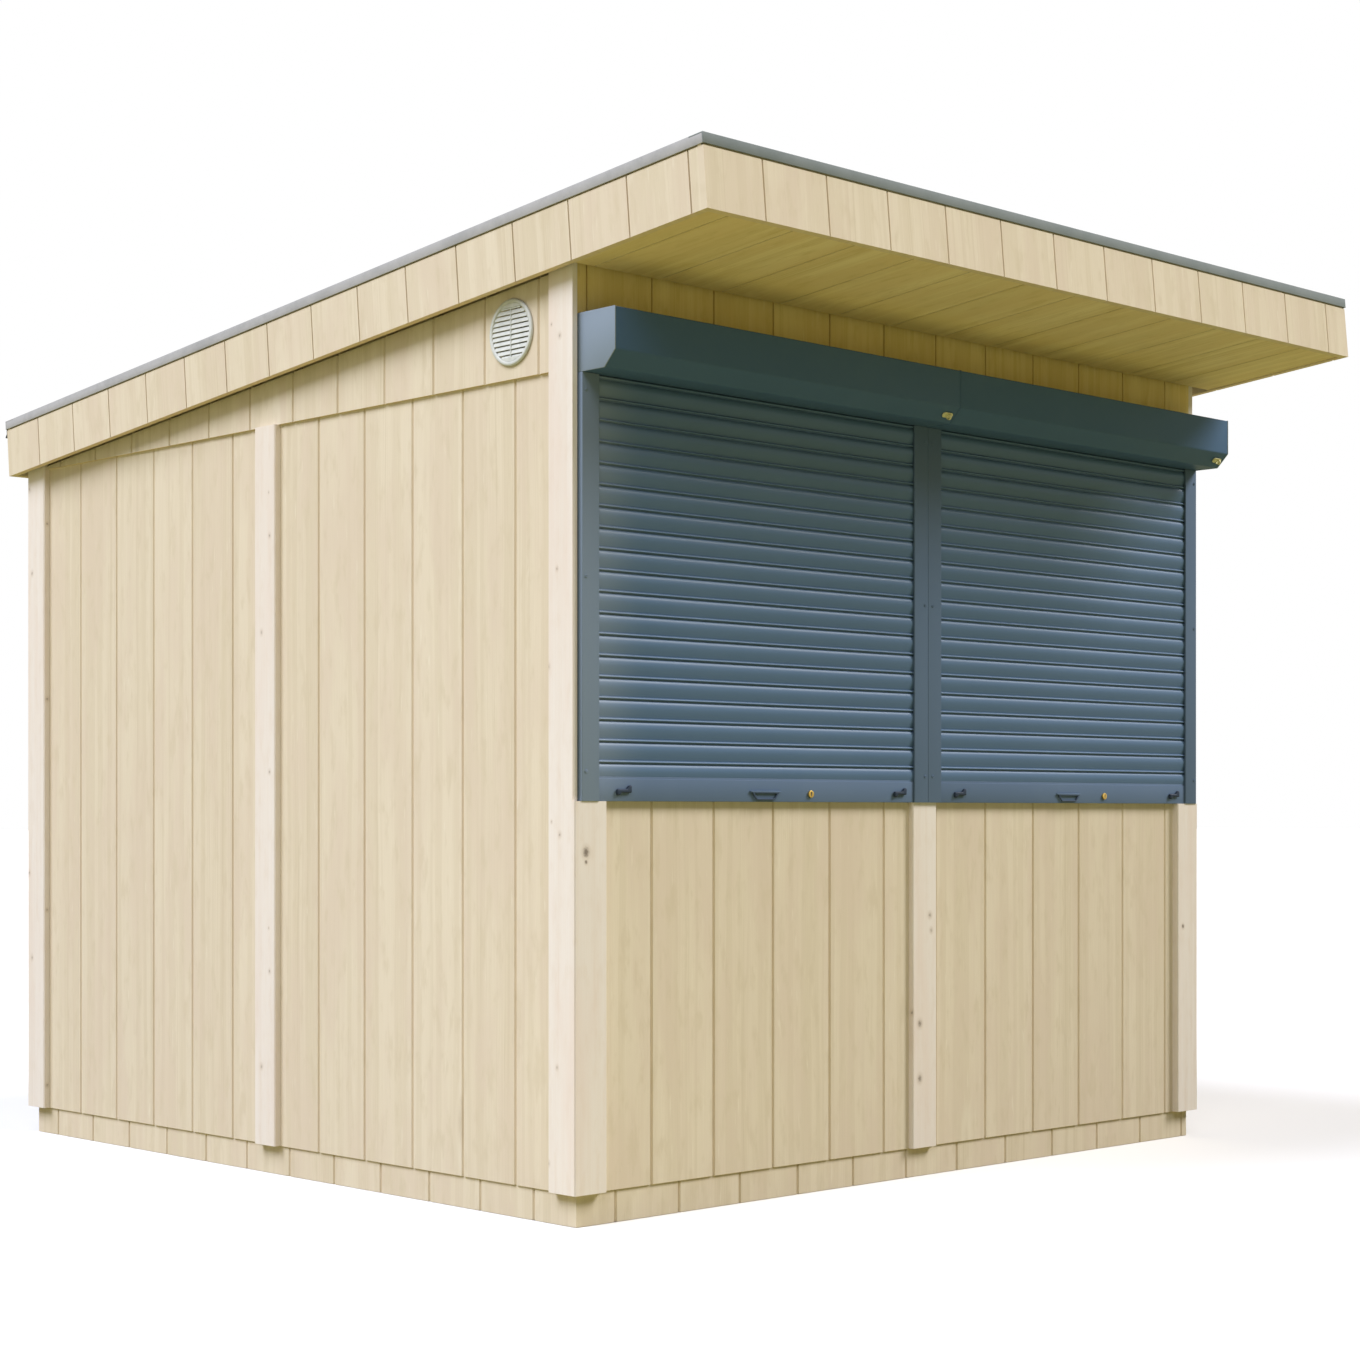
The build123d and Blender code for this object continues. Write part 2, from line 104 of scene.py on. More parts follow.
# %% Wires
class Wire:
    """One output socket of a finish in the making."""

    def __init__(self, tree, socket=None):
        self.tree = tree
        self.socket = socket

    def add(self, kind, settings=None, sockets=None, out=0):
        node = self.tree.nodes.new("ShaderNode" + kind)
        for key, value in (settings or {}).items():
            setattr(node, key, value)
        for key, value in (sockets or {}).items():
            self.feed(node.inputs[key], value)
        return Wire(self.tree, node.outputs[out])

    def feed(self, target, value):
        if isinstance(value, Wire):
            self.tree.links.new(value.socket, target)
        else:
            target.default_value = value

    def output(self, which):
        """Another output of the node that this wire comes from, by number or name."""
        return Wire(self.tree, self.socket.node.outputs[which])

    def maths(self, operation, other=0.0):
        return self.add("Math", {"operation": operation}, {0: self, 1: other})

    def __add__(self, other):
        return self.maths("ADD", other)

    __radd__ = __add__

    def __sub__(self, other):
        return self.maths("SUBTRACT", other)

    def __rsub__(self, other):
        return self.add("Math", {"operation": "SUBTRACT"}, {0: other, 1: self})

    def __mul__(self, other):
        return self.maths("MULTIPLY", other)

    __rmul__ = __mul__

    def stretched(self, x, y, z):
        return self.add("VectorMath", {"operation": "MULTIPLY"}, {0: self, 1: (x, y, z)})

    def noise(self, scale, detail=2.0, roughness=0.5):
        sockets = {"Vector": self, "Scale": scale, "Detail": detail, "Roughness": roughness}
        return self.add("TexNoise", None, sockets)

    def between(self, low, high):
        """This value from low to high, eased to run from 0 to 1."""
        sockets = {"Value": self, "From Min": low, "From Max": high}
        return self.add("MapRange", {"interpolation_type": "SMOOTHSTEP"}, sockets)

    def blend(self, first, second):
        """A colour that goes from the first to the second as this value goes from 0 to 1."""
        return self.add("Mix", {"data_type": "RGBA"}, {0: self, 6: first, 7: second}, out=2)

    def bump(self, strength, distance):
        """A normal for a surface with this value as its height."""
        return self.add("Bump", None, {"Height": self, "Strength": strength, "Distance": distance})

    def place(self):
        """Where on the hut a point is, in metres."""
        return self.add("TexCoord", None, None, out=3)


def new_finish(name, **constants):
    """A material with constants on its shader; names use _ for a space."""
    finish = bpy.data.materials.new(name)
    finish.use_nodes = True
    shader = finish.node_tree.nodes["Principled BSDF"]
    for key, value in constants.items():
        shader.inputs[key.replace("_", " ")].default_value = value
    return finish, shader, Wire(finish.node_tree)


def rgb(red, green, blue):
    """A linear colour from the 0 to 255 numbers of a colour picker."""
    shares = [c / 255 for c in (red, green, blue)]
    linear = [((c + 0.055) / 1.055) ** 2.4 if c > 0.04 else c / 12.92 for c in shares]
    return (*linear, 1.0)


print("wires ready")

# %% [markdown]
# ## The stage
# The background of the photograph is plain white. The world is white to the camera and in
# reflections. To everything else it is a dim studio with one broad pale wall on the left, which
# rounds off the shade there and shows as a sheen on metal that faces it. The floor shows pale with
# the hut's shadow, and throws back only a little warm light, so the canopy stays dark underneath.

# %% World and floor
SKY_LIGHT = 0.02
LEFT_GLOW = 0.3
LEFT_WALL = (-0.89, 0.22, 0.40)
FLOOR_BOUNCE = (0.31, 0.295, 0.13, 1)
FLOOR_SEEN = (0.92, 0.92, 0.91, 1)
FLOOR_SIDE = 240
FLOOR_DROP = 0.001
world = bpy.data.worlds.new("white_studio")
bpy.context.scene.world = world
world.use_nodes = True
sky = Wire(world.node_tree)
to_camera = sky.add("LightPath", None, None, out="Is Camera Ray")
seen = to_camera + to_camera.output("Is Glossy Ray") + to_camera.output("Is Transmission Ray")
seen = seen.maths("MINIMUM", 1.0)
toward = sky.add("TexCoord", None, None, out=0)
facing = sky.add("VectorMath", {"operation": "DOT_PRODUCT"}, {0: toward, 1: LEFT_WALL}, out=1)
glow = facing.between(0.15, 0.95) * LEFT_GLOW * (1 - to_camera)
backdrop = world.node_tree.nodes["Background"]
backdrop.inputs["Color"].default_value = (1, 1, 1, 1)
sky.feed(backdrop.inputs["Strength"], SKY_LIGHT + seen * (1 - SKY_LIGHT) + glow)

bpy.ops.object.select_all(action="DESELECT")
bpy.ops.mesh.primitive_plane_add(size=FLOOR_SIDE, location=(0, 0, -FLOOR_DROP))
floor = bpy.context.object
floor.name = "floor"
floor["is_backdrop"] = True
floor_finish, floor_shader, wire = new_finish("pale_floor", Roughness=0.9, Specular_IOR_Level=0.0)
to_camera = wire.add("LightPath", None, None, out="Is Camera Ray")
wire.feed(floor_shader.inputs["Base Color"], to_camera.blend(FLOOR_BOUNCE, FLOOR_SEEN))
floor.data.materials.append(floor_finish)
print("floor and world ready")

# %% [markdown]
# ## The lamps
# Two broad, soft suns light the hut: one from the left, square to the boarded side, and one from
# the front right. A weak third fills the edges that face the corner between them. A sun has no
# falloff, so the floor is lit evenly to the horizon, and a wide angle gives soft shadow edges.

# %% Lamps
LAMP_DISTANCE = 6


def soft_sun(name, toward, strength, spread, tint):
    """A sun lamp that shines from the given direction."""
    bpy.ops.object.select_all(action="DESELECT")
    bpy.ops.object.light_add(type="SUN", location=Vector(toward) * LAMP_DISTANCE)
    lamp = bpy.context.object
    lamp.name = name
    lamp.rotation_euler = Vector(toward).to_track_quat("Z", "Y").to_euler()
    lamp.data.energy = strength
    lamp.data.angle = math.radians(spread)
    lamp.data.color = tint
    return lamp


soft_sun("left_sun", (-1.0, 0.40, 1.28), 3.5, 37, (0.833, 0.861, 1.0))
soft_sun("front_right_sun", (1.33, -1.0, 1.46), 3.05, 24, (1.0, 0.98, 1.0))
soft_sun("front_left_sun", (-0.9, -1.0, 1.4), 0.7, 32, (0.97, 0.96, 1.0))

# %% [markdown]
# ## Finish: grooved spruce boards
# The cabin is clad with pale spruce sheets, grooved every 203 mm so that they read as boards.
# The real sheets show long veneer strips, soft pink and straw-coloured clouds, bundles of fine
# lines, short pale flecks and a few faint knots. Each piece carries its own grain attribute: across
# the board, along it, and a tone per board. So one finish serves boards that run in any direction.
# Edges that face the ground carry a mark on top of their tone, and show yellower wood there as painted
# shade, for the warm shade that falls under them.


# %% Spruce boards
# A yellow tint and a mark that paint warm shade on faces that face down.
UNDERSIDE_SHADE_TINT = (1.0, 0.93, 0.72, 1.0)
PAINTED_SHADE_MARK = 2.0


def spruce_boards(name, pale, deep, blush, fleck):
    """Grooved sheets in four tones of one wood."""
    finish, shader, wire = new_finish(name, Specular_IOR_Level=0.25)
    grain = wire.add("Attribute", {"attribute_name": "grain"}, None, out=1)
    across = wire.add("SeparateXYZ", None, {0: grain})
    along = across.output(1)
    mark = across.output(2)
    below = mark.between(1.2, 1.8)
    tone = mark - below * PAINTED_SHADE_MARK
    sway = grain.stretched(4.0, 1.6, 31).noise(1.0, 2.0) - 0.5
    grown = wire.add("CombineXYZ", None, {0: across + sway * 0.022, 1: along, 2: tone})
    knots = wire.add("TexVoronoi", None, {"Vector": grown.stretched(5.2, 1.15, 17), "Scale": 1.0})
    heart = 1 - knots.between(0.02, 0.085)
    from_ring = knots - 0.1
    ring = 1 - from_ring.maths("ABSOLUTE").between(0.0, 0.05)
    rare = grain.stretched(1.1, 0.6, 29).noise(1.0, 1.0).between(0.5, 0.6)
    fibres = grown.stretched(410, 6.0, 61).noise(1.0, 3.0, 0.6)
    lines = grown.stretched(230, 0.7, 59).noise(1.0, 2.0, 0.6)
    strips = grown.stretched(31, 0.2, 53).noise(1.0, 1.0)
    clouds = grown.stretched(11, 2.0, 47).noise(1.0, 3.0, 0.55)
    bundles = grown.stretched(12, 0.3, 41).noise(1.0, 1.0).between(0.5, 0.62)
    ticks = grown.stretched(125, 11, 43).noise(1.0, 2.0).between(0.66, 0.78)
    blots = grown.stretched(36, 10, 37).noise(1.0, 3.0, 0.6)
    depth = strips.between(0.46, 0.54) * 0.3 + fibres.between(0.3, 0.75) * 0.24 + tone * 0.22
    depth = depth + lines.between(0.45, 0.75) * bundles * 0.5
    wood = depth.blend(pale, deep)
    wood = (clouds.between(0.38, 0.68) * 0.7).blend(wood, blush)
    wood = (blots.between(0.5, 0.72) * 0.55).blend(wood, deep)
    wood = (ticks * 0.4 + ring * rare * 0.35).blend(wood, fleck)
    wood = (heart * rare * 0.5).blend(wood, (deep[0] * 0.62, deep[1] * 0.58, deep[2] * 0.52, 1))
    tinted = {"data_type": "RGBA", "blend_type": "MULTIPLY"}
    # Faces marked as facing down are tinted yellower: painted shade.
    shade_yellowed = wire.add("Mix", tinted, {0: 1.0, 6: wood, 7: UNDERSIDE_SHADE_TINT}, out=2)
    wire.feed(shader.inputs["Base Color"], below.blend(wood, shade_yellowed))
    wire.feed(shader.inputs["Roughness"], 0.58 + fibres * 0.2)
    wire.feed(shader.inputs["Normal"], (fibres + lines * 0.5).bump(0.2, 0.0005))
    return finish


wall_spruce = spruce_boards(
    "wall_spruce", rgb(230, 217, 194), rgb(212, 197, 169), rgb(220, 203, 181), rgb(238, 228, 208)
)
# The header and soffit are the wall spruce in yellower, deeper tones: painted shade, for the warm
# shade under the canopy.
canopy_spruce = spruce_boards(
    "canopy_spruce", rgb(248, 225, 158), rgb(224, 197, 122), rgb(234, 206, 135), rgb(251, 233, 174)
)
soffit_spruce = spruce_boards(
    "soffit_spruce", rgb(243, 231, 196), rgb(214, 196, 146), rgb(228, 209, 166), rgb(246, 237, 214)
)
print("finishes:", wall_spruce.name, canopy_spruce.name, soffit_spruce.name)

# %% [markdown]
# ## Helpers for modelling by hand
# Every tool in Blender works on what is selected. The helpers select one object, or the parts
# of it that pass a test, and settle a finished piece on the frame.

# %% Selecting and settling
MERGE_WITHIN = 0.00002


def only(piece):
    """Select one object and make it active."""
    bpy.ops.object.select_all(action="DESELECT")
    piece.select_set(True)
    bpy.context.view_layer.objects.active = piece
    return piece


def pick(piece, kind, test):
    """In edit mode, select the VERT, EDGE or FACE items that pass a test."""
    bpy.ops.mesh.select_mode(type=kind)
    bpy.ops.mesh.select_all(action="DESELECT")
    mesh = bmesh.from_edit_mesh(piece.data)
    items = {"VERT": mesh.verts, "EDGE": mesh.edges, "FACE": mesh.faces}[kind]
    for item in items:
        if test(item):
            item.select_set(True)
    mesh.select_flush_mode()
    bmesh.update_edit_mesh(piece.data)


def cad_copy(name, node):
    """A new piece that starts from a CAD solid, with its loose triangles merged."""
    piece = bpy.data.objects.new(name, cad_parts[node].data.copy())
    bpy.context.scene.collection.objects.link(piece)
    only(piece)
    bpy.ops.object.mode_set(mode="EDIT")
    bpy.ops.mesh.select_all(action="SELECT")
    bpy.ops.mesh.remove_doubles(threshold=MERGE_WITHIN)
    bpy.ops.object.mode_set(mode="OBJECT")
    return piece


def settle(piece, slot, finish, *nodes):
    """Give a piece its finish and put it on the frame in place of the named nodes."""
    piece.data.materials.clear()
    piece.data.materials.append(finish)
    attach(piece, "root")
    if nodes:
        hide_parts(*nodes)
    return piece


def dress(node, finish):
    """Give its finish to a CAD solid that stays as it is."""
    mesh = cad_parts[node].data
    mesh.materials.clear()
    mesh.materials.append(finish)


print("helpers ready")

# %% [markdown]
# ## Boards
# A board joint on the walls is a shallow V groove, and around the roof it is a narrow open gap. It
# could be a dark line in the finish, but a cut groove throws its own shadow from every side. Each
# sheet is bisected four times at every joint, and the middle cuts are pushed in as the groove's floor.

# %% Boarded sheets
# A groove is its width, its depth, and half its floor's width as a share of the whole.
WALL_GROOVE = (0.0088, 0.0050, 0.15)
OPEN_GAP = (0.0046, 0.0130, 0.42)
FASCIA_GAP = (0.0046, 0.0080, 0.34)
BOARD_PITCH = 0.203
SAME_PLANE = 0.0002
FACES_DOWN = -0.7
FLOOR_SLACK = 0.04
GAP_STEP = 0.0006
EAVE_GAP_FOOT = 0.007
EAVE_GAP_DEPTH = 0.030
X_AXIS = Vector((1, 0, 0))
Y_AXIS = Vector((0, 1, 0))
Z_AXIS = Vector((0, 0, 1))
ROOF_SLOPE = math.radians(5.32)
ROOF_EDGE = Vector((0, -1.7475, cad_high.z))
DOWN_SLOPE = Vector((0, math.cos(ROOF_SLOPE), -math.sin(ROOF_SLOPE)))
ROOF_UP = Vector((0, math.sin(ROOF_SLOPE), math.cos(ROOF_SLOPE)))


def lay_grain(piece, across, along, joints, seed):
    """Store for each corner its place across and along its board, and the board's tone."""
    mesh = piece.data
    grain = mesh.attributes.new("grain", "FLOAT_VECTOR", "CORNER")
    edges = [joints[0] - BOARD_PITCH, *joints, joints[-1] + BOARD_PITCH]
    for face in mesh.polygons:
        board = min(max(bisect_right(edges, face.center.dot(across)), 1), len(edges) - 1)
        middle = (edges[board - 1] + edges[board]) / 2
        tone = random.Random(f"{seed} {board}").random()
        # A face that faces down gets the painted-shade mark, which the finish turns yellower.
        if face.normal.z < FACES_DOWN:
            tone += PAINTED_SHADE_MARK
        for corner in face.loop_indices:
            place = mesh.vertices[mesh.loops[corner].vertex_index].co
            grain.data[corner].vector = (place.dot(across) - middle, place.dot(along), tone)


def boarded(node, face, across, along, joints, groove):
    """A sheet with grooves, cut into a copy of its CAD slab."""
    width, depth, inner = groove
    piece = cad_copy(node + "_boards", node)
    depths = [v.co.dot(face) for v in piece.data.vertices]
    places = [v.co.dot(across) for v in piece.data.vertices]
    front = max(depths)
    cuts = sorted(j for j in joints if min(places) + width < j < max(places) - width)
    only(piece)
    bpy.ops.object.mode_set(mode="EDIT")
    for joint in cuts:
        for share in (-0.5, -inner, inner, 0.5):
            bpy.ops.mesh.select_all(action="SELECT")
            bpy.ops.mesh.bisect(plane_co=across * (joint + share * width), plane_no=across)
    floor_half = width * (inner + FLOOR_SLACK)

    def on_groove_floor(vertex):
        place = vertex.co.dot(across)
        in_joint = any(abs(place - joint) < floor_half for joint in cuts)
        return in_joint and vertex.co.dot(face) > front - SAME_PLANE

    pick(piece, "VERT", on_groove_floor)
    bpy.ops.transform.translate(value=face * -depth)
    bpy.ops.object.mode_set(mode="OBJECT")
    lay_grain(piece, across, along, sorted(joints), node)
    return piece


def clad(node, face, across, along, joints, finish=wall_spruce, groove=WALL_GROOVE):
    """Put a boarded sheet in place of its CAD slab."""
    return settle(boarded(node, face, across, along, joints, groove), "wall_boards", finish, node)


def shadow_gap(piece, face, up, level, height, depth):
    """Set a sheet's face back above a line, a height under the level, to leave a dark gap there."""
    front = max(v.co.dot(face) for v in piece.data.vertices)
    only(piece)
    bpy.ops.object.mode_set(mode="EDIT")
    for drop in (height, height - GAP_STEP):
        bpy.ops.mesh.select_all(action="SELECT")
        bpy.ops.mesh.bisect(plane_co=up * (level - drop), plane_no=up)
    line = level - height + GAP_STEP / 2
    pick(piece, "VERT", lambda v: v.co.dot(face) > front - SAME_PLANE and v.co.dot(up) > line)
    bpy.ops.transform.translate(value=face * -depth)
    bpy.ops.object.mode_set(mode="OBJECT")
    return piece


def spaced(first, count, pitch=BOARD_PITCH):
    """Joint places at an even pitch."""
    return [first + pitch * i for i in range(count)]


print("board tools ready")

# %% [markdown]
# ## Walls and gables
# The sheets of one wall share their joints. A gable laps over its wall with its own joints, and
# its top is set back under the eaves, where the photograph has a dark line.

# %% Boarded walls
front_joints = spaced(-1.1595, 12)
for node in ("front_wall_lower_left", "front_wall_lower_right"):
    clad(node, -Y_AXIS, X_AXIS, Z_AXIS, front_joints)
header_joints = spaced(-1.159, 12)
# The header takes the spruce with painted shade.
clad("front_wall_header", -Y_AXIS, X_AXIS, Z_AXIS, header_joints, canopy_spruce, OPEN_GAP)
for node in ("rear_wall_left", "rear_wall_right"):
    clad(node, Y_AXIS, X_AXIS, Z_AXIS, front_joints)
side_joints = spaced(-1.2385, 13)
gable_joints = spaced(-1.1315, 12)
for side, face in (("left", -X_AXIS), ("right", X_AXIS)):
    for part in ("front", "rear"):
        clad(f"{side}_wall_{part}", face, Y_AXIS, Z_AXIS, side_joints)
    gable = clad(f"{side}_gable", face, Y_AXIS, Z_AXIS, gable_joints)
    gable_top = max(v.co.dot(ROOF_UP) for v in gable.data.vertices)
    eave_foot = min(v.co.dot(ROOF_UP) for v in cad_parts[f"{side}_fascia"].data.vertices)
    gap_height = gable_top - eave_foot - EAVE_GAP_FOOT
    shadow_gap(gable, face, ROOF_UP, gable_top, gap_height, EAVE_GAP_DEPTH)
    print(gable.name, "gap height mm:", round(gap_height * 1000, 1))

# %% [markdown]
# ## Plinth, fascias and canopy
# The plinth is cut from the same sheets, but its joints don't line up with the wall's. Around the
# roof the joints stand square to the slope, so their cuts are made along the slope and not
# along the ground. On each side fascia the joints come in two runs, where two sheets meet.

# %% Boards of the plinth and the roof
TRIM_GAP_HEIGHT = 0.0034
TRIM_GAP_DEPTH = 0.006
plinth_front_joints = spaced(-1.0655, 12, 0.2025)
plinth_side_joints = spaced(-1.0975, 12)
clad("plinth_front", -Y_AXIS, X_AXIS, Z_AXIS, plinth_front_joints)
clad("plinth_rear", Y_AXIS, X_AXIS, Z_AXIS, plinth_front_joints)
clad("plinth_left", -X_AXIS, Y_AXIS, Z_AXIS, plinth_side_joints)
clad("plinth_right", X_AXIS, Y_AXIS, Z_AXIS, plinth_side_joints)
edge_run = ROOF_EDGE.dot(DOWN_SLOPE)
run_joints = [edge_run + run for run in spaced(0.053, 4) + spaced(0.8785, 11, 0.2033)]
fascia_joints = spaced(-1.0685, 12, 0.2033)
soffit_joints = spaced(-1.1615, 12, 0.202)
roof_boards = (
    ("left_fascia", -X_AXIS, DOWN_SLOPE, ROOF_UP, run_joints, wall_spruce, FASCIA_GAP),
    ("right_fascia", X_AXIS, DOWN_SLOPE, ROOF_UP, run_joints, wall_spruce, FASCIA_GAP),
    ("front_fascia", -DOWN_SLOPE, X_AXIS, ROOF_UP, fascia_joints, wall_spruce, FASCIA_GAP),
    ("rear_fascia", DOWN_SLOPE, X_AXIS, ROOF_UP, fascia_joints, wall_spruce, FASCIA_GAP),
    ("canopy_soffit", -ROOF_UP, X_AXIS, DOWN_SLOPE, soffit_joints, soffit_spruce, OPEN_GAP),
)
trim_foot = min(v.co.dot(ROOF_UP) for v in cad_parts["front_edge_trim"].data.vertices)
for row in roof_boards:
    sheet = clad(*row)
    if row[0].endswith("_fascia"):
        shadow_gap(sheet, row[1], ROOF_UP, trim_foot, TRIM_GAP_HEIGHT, TRIM_GAP_DEPTH)
print("roof boards:", [row[0] for row in roof_boards])

# %% [markdown]
# ## Finish: planed spruce with knots
# The boards over the corners and joints are planed solid timber, paler and pinker than the
# sheets, with soft growth lines and a few small knots. Each knot is a distance from a point, and
# the darkest one wins. The knots come again up the boards, so the height is wrapped.

# %% Planed spruce
KNOT_REPEAT = 1.157
KNOT_SQUEEZE = 0.78
KNOT_REACH = 1.5
SIDE_FACE = 1.21
FRONT_FACE = 1.2765
SIDE_KNOT = 0.72
# A knot is its place along the side or the front, its height and its radius in metres.
SIDE_KNOTS = (
    (-1.192, 0.940, 0.005), (-1.222, 0.910, 0.008), (-1.212, 0.370, 0.007), (-1.181, 0.145, 0.008),
    (-0.024, 1.070, 0.008), (-0.020, 0.655, 0.005), (-0.024, 0.540, 0.008), (0.014, 0.285, 0.009),
    (1.267, 0.780, 0.010), (1.250, 0.525, 0.010),
)
FRONT_KNOTS = (
    (-1.177, 0.870, 0.014), (-1.177, 0.847, 0.006), (0.020, 0.690, 0.010), (0.025, 0.650, 0.009),
    (-0.020, 0.405, 0.013), (-0.020, 0.260, 0.013), (1.138, 0.625, 0.008),
)
# A knot on a board's edge has both places.
EDGE_KNOTS = (
    (-1.200, 1.1785, 0.670, 0.007), (-1.200, 1.1785, 0.145, 0.008), (-0.0475, -1.268, 0.435, 0.009),
)
knots = [(x, y, z, radius, SIDE_KNOT) for x in (-SIDE_FACE, SIDE_FACE) for y, z, radius in SIDE_KNOTS]
knots += [(x, y, z, radius, 1.0) for y in (-FRONT_FACE, FRONT_FACE) for x, z, radius in FRONT_KNOTS]
knots += [(*knot, SIDE_KNOT) for knot in EDGE_KNOTS]
planed_spruce, shader, wire = new_finish("planed_spruce", Specular_IOR_Level=0.34)
place = wire.place()
x_place = wire.add("SeparateXYZ", None, {0: place})
y_place = x_place.output(1)
height = x_place.output(2)
board = wire.add("CombineXYZ", None, {0: x_place + y_place, 1: 0.0, 2: height})
lines = board.stretched(330, 1, 2.6).noise(1.0, 3.0, 0.6)
streaks = board.stretched(38, 1, 0.8).noise(1.0, 2.0, 0.5)
blush = board.stretched(9, 1, 1.6).noise(1.0, 2.0, 0.5)
smudges = board.stretched(44, 1, 13).noise(1.0, 3.0, 0.6)
wrapped = height.maths("FLOORED_MODULO", KNOT_REPEAT) * KNOT_SQUEEZE
spot = wire.add("CombineXYZ", None, {0: x_place, 1: y_place, 2: wrapped})
dark = None
for x, y, z, radius, strength in knots:
    middle = (x, y, z * KNOT_SQUEEZE)
    far = wire.add("VectorMath", {"operation": "DISTANCE"}, {0: spot, 1: middle}, out=1)
    fade = {"From Max": radius * KNOT_REACH, "To Min": strength, "To Max": 0.0}
    near = wire.add("MapRange", None, {"Value": far, **fade})
    dark = dark.maths("MAXIMUM", near) if dark else near
dark = dark * (0.75 + 0.5 * place.noise(240.0, 2.0))
deeper = lines.between(0.3, 0.8) * 0.2 + streaks.between(0.3, 0.75) * 0.34
deeper = deeper + smudges.between(0.45, 0.75) * 0.3
wood = deeper.blend(rgb(239, 230, 221), rgb(226, 210, 193))
wood = (blush.between(0.45, 0.75) * 0.55).blend(wood, rgb(232, 213, 199))
wood = (dark.between(0.05, 0.6) * 0.4).blend(wood, rgb(198, 178, 158))
wood = (dark.between(0.45, 0.85) * 0.85).blend(wood, rgb(112, 98, 86))
wire.feed(shader.inputs["Base Color"], wood)
wire.feed(shader.inputs["Roughness"], 0.5 + lines * 0.2)
wire.feed(shader.inputs["Normal"], lines.bump(0.15, 0.0005))
print("planed finish, knots:", len(knots))

# %% [markdown]
# ## Planed boards
# Most of the planed boards are right as solids. The front middle board is thinner than the others,
# so its face is moved back. The side corner boards meet the board round the corner flush, so their
# eased edge there is drawn out square, and no seam shows.

# %% Planed boards
MID_SINK = 0.005
EASED = 0.006


def planed_copy(node):
    """A copy of a cover board's solid, in edit mode."""
    piece = cad_copy(node.replace("boards", "board").replace("board", "planed"), node)
    only(piece)
    bpy.ops.object.mode_set(mode="EDIT")
    return piece


mid_board = planed_copy("front_mid_board")
mid_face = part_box("front_mid_board")[0].y
pick(mid_board, "VERT", lambda v: v.co.y < mid_face + EASED)
bpy.ops.transform.translate(value=(0, MID_SINK, 0))
bpy.ops.object.mode_set(mode="OBJECT")
settle(mid_board, "cover_boards", planed_spruce, "front_mid_board")
for side, end in (("left", 0), ("right", 1)):
    node = f"{side}_corner_boards"
    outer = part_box(node)[end].x
    corner_boards = planed_copy(node)
    for edge in [corner.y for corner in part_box(node)]:
        pick(corner_boards, "VERT", lambda v: math.hypot(v.co.x - outer, v.co.y - edge) < EASED)
        bpy.ops.transform.resize(value=(0, 0, 1), center_override=(outer, edge, 0))
    bpy.ops.mesh.select_all(action="SELECT")
    bpy.ops.mesh.remove_doubles(threshold=MERGE_WITHIN)
    bpy.ops.mesh.dissolve_degenerate(threshold=MERGE_WITHIN)
    bpy.ops.object.mode_set(mode="OBJECT")
    settle(corner_boards, "cover_boards", planed_spruce, node)
    print(corner_boards.name, "corners:", len(corner_boards.data.vertices))
dressed = ("front_mid_board", "left_corner_boards", "right_corner_boards")
covers = [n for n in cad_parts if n.endswith(("_corner_boards", "_mid_board"))]
covers = [n for n in covers if n not in dressed]
for node in covers:
    dress(node, planed_spruce)
print("planed boards kept as solids:", len(covers))

# %% [markdown]
# ## Finishes: coated and bare metal
# The shutters are aluminium with a satin blue-grey coat, which has a faint orange-peel skin and a
# little dust. The roof's edge is folded sheet, left bare and dulled by weather. Small fittings
# are dark steel and brass.

# %% Metals
# The coats pale towards the hut's left end: painted light, for the light from the left that reaches
# under the canopy there.
PAINTED_LIGHT_START = -0.98
PAINTED_LIGHT_END = -1.20


def coated_metal(name, tone, worn, roughness, gloss=0.05, left_light_tone=None):
    """A satin coat; with a light tone it pales to that tone at the hut's left end, as painted light
    from the left.
    """
    finish, shader, wire = new_finish(name, Metallic=0.0, Specular_IOR_Level=gloss)
    place = wire.place()
    peel = place.noise(900.0, 2.0)
    dust = place.stretched(3.0, 3.0, 1.6).noise(1.0, 4.0, 0.6)
    coat = (dust.between(0.4, 0.75) * 0.5).blend(tone, worn)
    if left_light_tone:
        # Paler towards the left end: painted light.
        painted_light_share = wire.add("SeparateXYZ", None, {0: place}).between(PAINTED_LIGHT_START, PAINTED_LIGHT_END) * 0.8
        coat = painted_light_share.blend(coat, left_light_tone)
    wire.feed(shader.inputs["Base Color"], coat)
    wire.feed(shader.inputs["Roughness"], roughness + dust * 0.14)
    wire.feed(shader.inputs["Normal"], peel.bump(0.05, 0.0004))
    return finish


def bare_metal(name, tone, dull, roughness, metallic=1.0, gloss=0.5):
    """Uncoated metal that is dull in patches; weathered sheet has little metallic shine left."""
    finish, shader, wire = new_finish(name, Metallic=metallic, Specular_IOR_Level=gloss)
    place = wire.place()
    bloom = place.noise(14.0, 4.0, 0.6)
    scuff = place.noise(320.0, 2.0)
    wire.feed(shader.inputs["Base Color"], bloom.between(0.35, 0.75).blend(tone, dull))
    wire.feed(shader.inputs["Roughness"], roughness + bloom * 0.16 + scuff * 0.06)
    return finish


COAT = rgb(99, 118, 143)
WORN = rgb(106, 124, 148)
LEFT_END_PAINTED_LIGHT = rgb(136, 151, 170)
shutter_coat = coated_metal("shutter_coat", COAT, WORN, 0.4, left_light_tone=LEFT_END_PAINTED_LIGHT)
slat_coat = coated_metal("slat_coat", rgb(89, 115, 145), rgb(96, 121, 149), 0.31, 0.2, LEFT_END_PAINTED_LIGHT)
